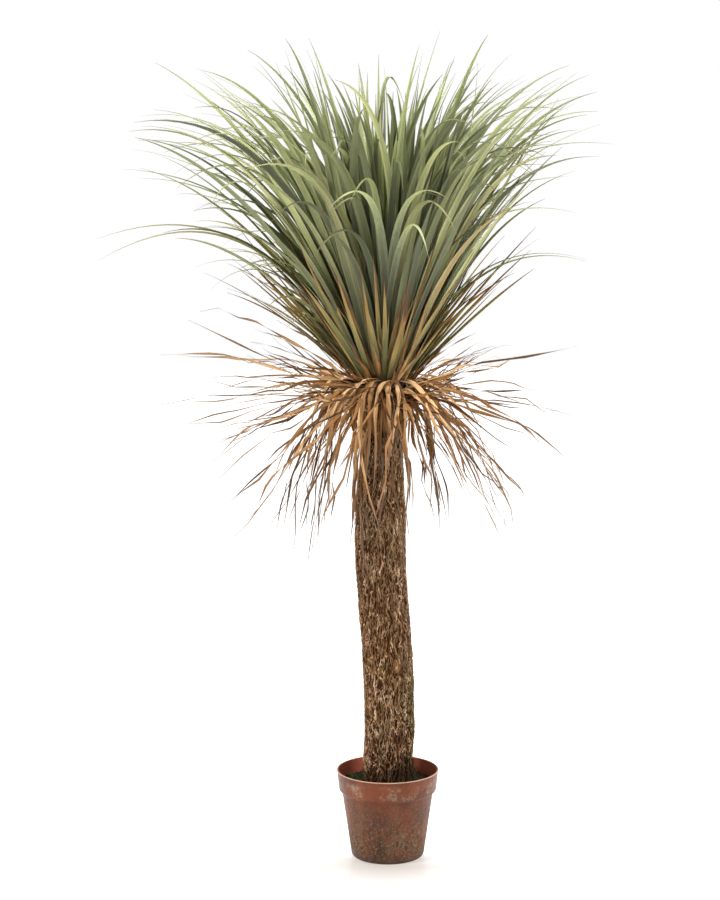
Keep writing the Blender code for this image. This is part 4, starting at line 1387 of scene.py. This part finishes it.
class YuccaPotSettings(bpy.types.PropertyGroup):
    """Sizes and colours of the pot and what fills it."""

    height: metres("Height", "Pot height", 0.164)
    rim_radius: metres("Rim Radius", "Outer radius at the lip", 0.096)
    collar_height: metres("Collar Height", "Height of the deep collar under the lip", 0.038)
    foot_radius: metres("Foot Radius", "Outer radius at the bottom", 0.068)
    wall: metres("Wall", "Wall thickness", 0.0026)
    soil_depth: metres("Soil Depth", "How far the soil lies under the lip", 0.025)
    plastic: paint("Plastic", "Clean terracotta-coloured plastic", (0.152, 0.035, 0.010))
    dark_plastic: paint("Dark Plastic", "Deeper tone of the plastic", (0.062, 0.016, 0.006))
    dust: paint("Dust", "Dried mud and lime film on the pot", (0.135, 0.094, 0.056))


class YuccaTrunkSettings(bpy.types.PropertyGroup):
    """Sizes and colours of the bark."""

    ridge_depth: metres("Ridge Depth", "How far the bark's ridges stand out", 0.0036)
    ridge_width: metres("Ridge Width", "Spacing of the ridges", 0.0062)
    ridge_length: metres("Ridge Length", "Length of a ridge", 0.026)
    lump_depth: metres("Lump Depth", "Depth of the trunk's broad lumps", 0.006)
    fibres: count_of("Fibres", "Number of loose fibres on the bark", 600)
    # Partly the bark's own dark fibre, partly painted shade in the furrows.
    furrow: paint("Furrow", "Bark colour in the furrows", (0.026, 0.011, 0.003))
    ridge: paint("Ridge", "Bark colour on the ridges", (0.188, 0.104, 0.051))
    ridge_crest: paint("Ridge Crest", "Weathered colour on the highest ridges", (0.450, 0.315, 0.208))


class YuccaLeafSettings(bpy.types.PropertyGroup):
    """Sizes and colours of the leaves."""

    half_width: metres("Half Width", "Half the width of a living leaf", 0.0112)
    yellow_half_width: metres("Yellowing Half Width", "Half the width of a yellowing leaf", 0.0066)
    dry_half_width: metres("Dried Half Width", "Half the width of a dried leaf", 0.0050)
    extra_leaves: count_of("More Leaves", "Finer leaves added between the frame's living leaves", 232)
    right_leaves: count_of("Right Side Leaves", "Finer leaves that fill the head's fuller side", 30)
    extra_yellow: count_of("More Yellowing Leaves", "Finer leaves added between the yellowing ones", 70)
    extra_dry: count_of("More Dried Leaves", "Finer strips added between the frame's dried leaves", 22)
    wreath_strips: count_of("Wreath Strips", "Broad dried strips that curl over the top of the neck", 38)
    hanging_strips: count_of("Hanging Strips", "Dried strips that hang against the front of the trunk", 22)
    shaded_leaf: paint("Deepest Green", "Darkest living leaves", (0.064, 0.073, 0.031))
    bloom_leaf: paint("Bloom", "Grey-green of the young leaves in the middle", (0.198, 0.222, 0.102))
    young_leaf: paint("Young", "Fresher green among the young leaves", (0.318, 0.352, 0.142))
    pale_leaf: paint("Pale", "Palest young leaves", (0.455, 0.495, 0.250))
    olive_leaf: paint("Olive", "Darker green of the outer leaves", (0.115, 0.125, 0.045))
    light_leaf: paint("Light", "Yellow-green of the outer leaves", (0.230, 0.235, 0.085))
    straw_leaf: paint("Straw", "Palest outer leaves", (0.410, 0.405, 0.175))
    ochre_leaf: paint("Ochre", "Leaves that begin to dry", (0.245, 0.135, 0.045))
    yellow_leaf: paint("Yellowing", "Golden leaves that are dying back", (0.280, 0.210, 0.070))
    dry_dark: paint("Dark Dried", "Darkest dried leaves", (0.052, 0.019, 0.006))
    dry_leaf: paint("Dried", "Most dried leaves", (0.335, 0.163, 0.058))
    dry_pale: paint("Pale Dried", "Bleached dried leaves", (0.800, 0.510, 0.260))


class YuccaStageSettings(bpy.types.PropertyGroup):
    """Floor, light and camera."""

    floor_colour: paint("Floor", "Floor and backdrop", (0.92, 0.92, 0.92))
    camera_distance: metres("Camera Distance", "From the trunk to the camera", 3.40)
    camera_height: metres("Camera Height", "Camera height over the floor", 1.150)
    camera_pitch: amount("Camera Pitch", "How far the camera looks down", math.radians(6.41), subtype="ANGLE")
    camera_shift: amount("Camera Shift", "Sideways shift, as a share of the picture's height", 27.65 / 900)
    focal_length: amount("Focal Length", "Lens, in millimetres on a 36 mm frame", 74.04, min=1.0)
    key_power: amount("Key Power", "Main softbox", 170.0, min=0.0, unit="POWER")
    fill_power: amount("Fill Power", "Fill softbox", 150.0, min=0.0, unit="POWER")
    sky: amount("Surround", "Light from the white surround", 0.62, min=0.0)


# Operators


class YUCCA_OT_pot(bpy.types.Operator):
    """Make the tapered nursery pot with its collar, lip and drain holes"""

    bl_idname = "yucca.pot"
    bl_label = "Pot"

    def execute(self, context):
        settings = context.scene.yucca_pot
        top, rim, foot, wall = settings.height, settings.rim_radius, settings.foot_radius, settings.wall
        collar = top - settings.collar_height
        outside = [
            (rim - 0.0002, top - 0.0004),
            (rim, top - 0.0018),
            (rim - 0.0008, top - 0.0047),
            (rim - 0.0045, collar),
            (rim - 0.0065, collar - 0.0015),
            (rim - 0.0095, collar - 0.0030),
            (rim - 0.0105, collar - 0.0065),
            (foot + 0.0004, 0.004),
            (foot - 0.0015, 0.0),
        ]
        inside = [(radius - wall, height) for radius, height in reversed(outside[2:7])]
        lip = [(rim - 0.0032, top - 0.0008), (rim - 0.0018, top)]
        profile = [(0.0, 0.003), (foot - wall, 0.003), *inside, *lip, *outside, (0.0, 0.0)]
        pot = show("pot_shell", lathe("pot_shell", rounded(profile, 0.0010), POT_SIDES))
        self.drill(pot, holes=6, circle=0.044, radius=0.0045)
        pot.data.name = "pot_shell"
        pot.data.materials.clear()
        pot.data.materials.append(pot_finish(settings))
        pot.data.shade_smooth()
        pot.data.set_sharp_from_angle(angle=math.radians(50))
        seated(pot, "pot", "pot")
        return {"FINISHED"}

    def drill(self, pot, holes, circle, radius):
        """Cuts a circle of drain holes through the pot's floor."""
        drills = bpy.data.collections.new("drain_drills")
        for k in range(holes):
            angle = 2 * math.pi * k / holes
            bm = bmesh.new()
            spot = Matrix.Translation((circle * math.cos(angle), circle * math.sin(angle), 0.0015))
            ends = {"radius1": radius, "radius2": radius, "depth": 0.012, "matrix": spot}
            bmesh.ops.create_cone(bm, cap_ends=True, segments=24, **ends)
            drill = bpy.data.meshes.new(f"drain_drill_{k}")
            bm.to_mesh(drill)
            bm.free()
            drills.objects.link(bpy.data.objects.new(drill.name, drill))
        cut = pot.modifiers.new("drain holes", "BOOLEAN")
        cut.operand_type = "COLLECTION"
        cut.collection = drills
        pot.data = evaluated(pot)
        for drill in list(drills.objects):
            bpy.data.objects.remove(drill, do_unlink=True)
        bpy.data.collections.remove(drills)


class YUCCA_OT_soil(bpy.types.Operator):
    """Make the soil bed, its crumbs and its tufts of moss"""

    bl_idname = "yucca.soil"
    bl_label = "Soil and Moss"

    def execute(self, context):
        settings = context.scene.yucca_pot
        top = settings.height - settings.soil_depth
        outer = settings.rim_radius - 0.0105 - settings.wall + 0.0012
        hole, hole_floor = FOOT_HOLE
        surface = [(hole + (outer - hole) * share, top) for share in shares(SOIL_RINGS)]
        floor = (settings.foot_radius - settings.wall - 0.0012, 0.0033)
        foot = [(outer - 0.0005, top - 0.012), floor, (0.0, floor[1])]
        mesh = lathe("soil_bed", [(0.0, hole_floor), (hole, hole_floor), *surface, *foot], SOIL_SIDES)
        tops, mosses = [], []
        for vertex in mesh.vertices:
            x, y, z = vertex.co
            free = z > top - 0.001
            bed = max(1 - math.hypot(x - cx, y - cy) / reach for cx, cy, reach in MOSS_BEDS)
            tops.append(1.0 if free else 0.0)
            mosses.append(min(1.0, max(0.0, bed * 1.8)) if free else 0.0)
            if free:
                vertex.co.z = soil_height(x, y, top) + 0.003 * mosses[-1]
        mark(mesh, "top", tops)
        mark(mesh, "moss", mosses)
        mesh.materials.append(soil_finish())
        mesh.shade_smooth()
        seated(show("soil_bed", mesh), "soil", "soil")
        crumb = ("GeometryNodeMeshIcoSphere", {"Radius": 0.0011, "Subdivisions": 1})
        spike = {"Vertices": 4, "Radius Top": 0.0, "Radius Bottom": 0.0007, "Depth": 0.0055}
        sprig = ("GeometryNodeMeshCone", spike)
        labels = ("Where", "Density", "Apart", "Smallest", "Largest", "Seed", "Finish")
        for name, shape, lean, *values in (
            ("soil_crumbs", crumb, math.pi, "top", 260000.0, 0.0022, 0.5, 1.9, 5, mesh.materials[0]),
            ("moss_tufts", sprig, 0.7, "moss", 900000.0, 0.0009, 0.6, 1.7, 9, moss_finish()),
        ):
            tree = scatter_tree(name, shape, lean)
            seated(grown(name, show(name + "_surface", mesh.copy()), tree, dict(zip(labels, values))), "soil")
        return {"FINISHED"}


class YUCCA_OT_trunk(bpy.types.Operator):
    """Make the trunk with its fibrous bark"""

    bl_idname = "yucca.trunk"
    bl_label = "Trunk"

    def execute(self, context):
        settings = context.scene.yucca_trunk
        rings = []
        for share in shares(TRUNK_RINGS):
            z = mix((TRUNK_FOOT_Z, TRUNK_TOP_Z), share)
            centre, radius = trunk_centre(z), curve_through(TRUNK_RADIUS, z) - STEM_INSET
            rings.append([centre + radius * Vector((c, s, 0.0)) for c, s in circle(TRUNK_SIDES)])
        mesh = skinned("stem", rings)
        levels = [vertex.co.z for vertex in mesh.vertices]
        rough = [smooth_step(0.135, 0.155, z) * (1 - 0.85 * smooth_step(0.79, 0.83, z)) for z in levels]
        mark(mesh, "rough", rough)
        relief = {
            "Ridge Depth": settings.ridge_depth,
            "Ridge Width": settings.ridge_width,
            "Ridge Length": settings.ridge_length,
            "Lump Depth": settings.lump_depth,
            "Finish": bark_finish(settings),
        }
        seated(grown("trunk_bark", show("stem", mesh), bark_tree("bark_relief"), relief), "bark", "trunk")
        lines = fibre_lines(settings.fibres, FIBRE_SEED) + foot_lines(FOOT_FIBRES, FOOT_FIBRE_SEED)
        section = section_of(5, 0.3, 0.2, fibre_finish())
        swept("bark_fibres", lines, section, "bark")
        return {"FINISHED"}


class YUCCA_OT_green_leaves(bpy.types.Operator):
    """Make the living head of long arching leaves"""

    bl_idname = "yucca.green_leaves"
    bl_label = "Living Leaves"

    def execute(self, context):
        settings = context.scene.yucca_leaf
        finish = green_finish(settings)
        section = section_of(12, 0.05, 0.50, finish)
        shapes = green_leaf_shapes(GREEN_LEAVES, GREEN_SEED, settings.half_width, STANDOUT_LEAVES)
        living = green_lines(shapes, LIVING_LINE_SEED, 22)
        swept("living_leaves", living, section, "green_leaf", "green_leaves")
        narrow = settings.half_width * EXTRA_WIDTH
        more = green_leaf_shapes(settings.extra_leaves, EXTRA_SEED, narrow, ages=EXTRA_AGES)
        more += right_side_shapes(settings.right_leaves, RIGHT_SIDE_SEED, narrow)
        lines = green_lines([kept_in_head(shape) for shape in more], INNER_LINE_SEED, 20) + bent_lines(24)
        swept("inner_leaves", lines, section, "green_leaf")
        radius, half_height = HEART_RADIUS * HEART_INSET, HEART_HALF_HEIGHT * HEART_INSET
        angles = [math.pi * share for share in shares(16)]
        outline = [(radius * math.sin(a), HEART_CENTRE.z - half_height * math.cos(a)) for a in angles]
        heart = lathe("leaf_heart", outline, HEART_SIDES)
        for vertex in heart.vertices:
            vertex.co.x += HEART_CENTRE.x
            vertex.co.z = max(vertex.co.z, TRUNK_TOP_Z + 0.0003)
        # The heart carries no marks on its points, so the leaf finish paints it in the near-black painted
        # shade of the leaf roots.
        heart.materials.append(finish)
        heart.shade_smooth()
        seated(show("leaf_heart", heart), "green_leaf")
        return {"FINISHED"}


class YUCCA_OT_yellowing_leaves(bpy.types.Operator):
    """Make the loose layer of leaves that are dying back"""

    bl_idname = "yucca.yellowing_leaves"
    bl_label = "Yellowing Leaves"

    def execute(self, context):
        settings = context.scene.yucca_leaf
        width = settings.yellow_half_width
        section = section_of(8, 0.08, 0.5, yellow_finish(settings))
        swept("dying_leaves", yellow_lines(width), section, "yellowing_leaf", "yellowing_leaves")
        more = dying_lines(settings.extra_yellow, EXTRA_YELLOW_SEED, width)
        swept("thin_dying_leaves", more, section, "yellowing_leaf")
        return {"FINISHED"}


class YUCCA_OT_dried_leaves(bpy.types.Operator):
    """Make the skirt of dead leaves and the old leaf bases they hang from"""

    bl_idname = "yucca.dried_leaves"
    bl_label = "Dried Leaves"

    def execute(self, context):
        settings = context.scene.yucca_leaf
        width, slot = settings.dry_half_width, "dried_leaf"
        thin = width * DRY_EXTRA_WIDTH
        section = section_of(7, 0.09, 0.18, dry_finish(settings))
        skirt = dry_lines(dry_shapes(DRY_LEAVES, DRY_SEED, DRY_SPREAD_STRAY), width, SKIRT_SEED)
        swept("dried_skirt", skirt, section, slot, "dried_leaves")
        more = dry_shapes(settings.extra_dry, DRY_EXTRA_SEED, DRY_EXTRA_STRAY, DRY_EXTRA_STEEPEST)
        more = dry_lines(more, thin, STRIP_SEED) + fan_lines(FAN_SEED, thin)
        swept("dried_strips", more, section, slot)
        wreath = wreath_lines(settings.wreath_strips, WREATH_SEED, width)
        wreath += front_wreath_lines(FRONT_WREATH_SEED)
        swept("curled_wreath", wreath, section, slot)
        veil = hanging_lines(settings.hanging_strips, HANGING_SEED, width)
        swept("hanging_strips", veil, section, slot)
        bases = base_lines(OLD_BASES, BASE_SEED) + collar_lines(COLLAR_BASES, COLLAR_SEED)
        swept("old_leaf_bases", bases, {**section, "Channel": 0.25}, slot)
        return {"FINISHED"}


def softbox(name, place, target, size, power, tint):
    light = bpy.data.lights.new(name, "AREA")
    light.shape = "RECTANGLE"
    light.size, light.size_y = size
    light.energy = power
    light.color = tint
    lamp = show(name, light)
    lamp.location = place
    lamp.rotation_euler = (Vector(target) - Vector(place)).to_track_quat("-Z", "Y").to_euler()


def white_surround(sky):
    """A surround that the camera sees as plain white and that lights the plant softly, mostly from above."""
    world = bpy.data.worlds.new("white_surround")
    world.use_nodes = True
    tree = world.node_tree
    surround = tree.nodes["Background"].inputs
    surround["Color"].default_value = (1.0, 1.0, 1.0, 1.0)
    toward = put(tree, "ShaderNodeTexCoord", None, "Generated")
    above = toward.axis(2).spread(-0.3, 0.9, sky * 0.1, sky * 0.7)
    behind = toward.axis(1).spread(-0.5, 0.7, sky * 0.1, sky * 0.9)
    beside = toward.axis(0).absolute().spread(0.70, 1.0, 0.0, sky * 1.1)
    seen = put(tree, "ShaderNodeLightPath", None, "Is Camera Ray")
    give(surround["Strength"], seen.spread(0.0, 1.0, above + behind + beside, 1.0))
    return world


class YUCCA_OT_stage(bpy.types.Operator):
    """Set the white floor, the soft studio light and the camera"""

    bl_idname = "yucca.stage"
    bl_label = "Stage"

    def execute(self, context):
        settings = context.scene.yucca_stage
        mesh = bpy.data.meshes.new("floor")
        reach = 14.0
        corners = [(-reach, -reach, 0.0), (reach, -reach, 0.0), (reach, reach, 0.0), (-reach, reach, 0.0)]
        mesh.from_pydata(corners, [], [(0, 1, 2, 3)])
        mesh.materials.append(floor_finish(settings))
        show("floor", mesh)
        context.scene.world = white_surround(settings.sky)
        key, fill = settings.key_power, settings.fill_power
        softbox("key_softbox", (-2.7, -1.3, 2.6), (0.0, 0.0, 0.9), (1.4, 2.2), key, (1.0, 0.985, 0.96))
        softbox("fill_softbox", (2.8, -1.0, 2.2), (0.0, 0.0, 0.8), (1.6, 2.4), fill, (0.99, 0.99, 1.0))
        lens = bpy.data.cameras.new("camera")
        lens.sensor_fit = "VERTICAL"
        lens.sensor_height = 36.0
        lens.lens = settings.focal_length
        lens.shift_x = -settings.camera_shift
        camera = show("camera", lens)
        camera.location = (0.0, -settings.camera_distance, settings.camera_height)
        camera.rotation_euler = (math.radians(90) - settings.camera_pitch, 0.0, 0.0)
        context.scene.camera = camera
        context.scene.view_settings.view_transform = "Standard"
        return {"FINISHED"}


class YUCCA_PT_panel(bpy.types.Panel):
    """Lists the pieces of the potted yucca"""

    bl_label = "Potted Yucca"
    bl_idname = "YUCCA_PT_panel"
    bl_space_type = "VIEW_3D"
    bl_region_type = "UI"
    bl_category = "Yucca"

    def draw(self, context):
        for operator in OPERATORS:
            self.layout.operator(operator.bl_idname)
        for name, group in GROUPS.items():
            box = self.layout.box()
            box.label(text=group.__doc__.rstrip("."))
            held = getattr(context.scene, name)
            for key in group.__annotations__:
                box.prop(held, key)


OPERATORS = (
    YUCCA_OT_stage,
    YUCCA_OT_pot,
    YUCCA_OT_soil,
    YUCCA_OT_trunk,
    YUCCA_OT_green_leaves,
    YUCCA_OT_yellowing_leaves,
    YUCCA_OT_dried_leaves,
)
GROUPS = {
    "yucca_pot": YuccaPotSettings,
    "yucca_trunk": YuccaTrunkSettings,
    "yucca_leaf": YuccaLeafSettings,
    "yucca_stage": YuccaStageSettings,
}


def register():
    for name, group in GROUPS.items():
        bpy.utils.register_class(group)
        setattr(bpy.types.Scene, name, bpy.props.PointerProperty(type=group))
    for operator in OPERATORS:
        bpy.utils.register_class(operator)
    bpy.utils.register_class(YUCCA_PT_panel)


def unregister():
    bpy.utils.unregister_class(YUCCA_PT_panel)
    for operator in reversed(OPERATORS):
        bpy.utils.unregister_class(operator)
    for name, group in GROUPS.items():
        delattr(bpy.types.Scene, name)
        bpy.utils.unregister_class(group)


def main():
    register()
    bpy.ops.yucca.stage()
    bpy.ops.yucca.pot()
    bpy.ops.yucca.soil()
    bpy.ops.yucca.trunk()
    bpy.ops.yucca.green_leaves()
    bpy.ops.yucca.yellowing_leaves()
    bpy.ops.yucca.dried_leaves()


if __name__ == "__main__":
    main()
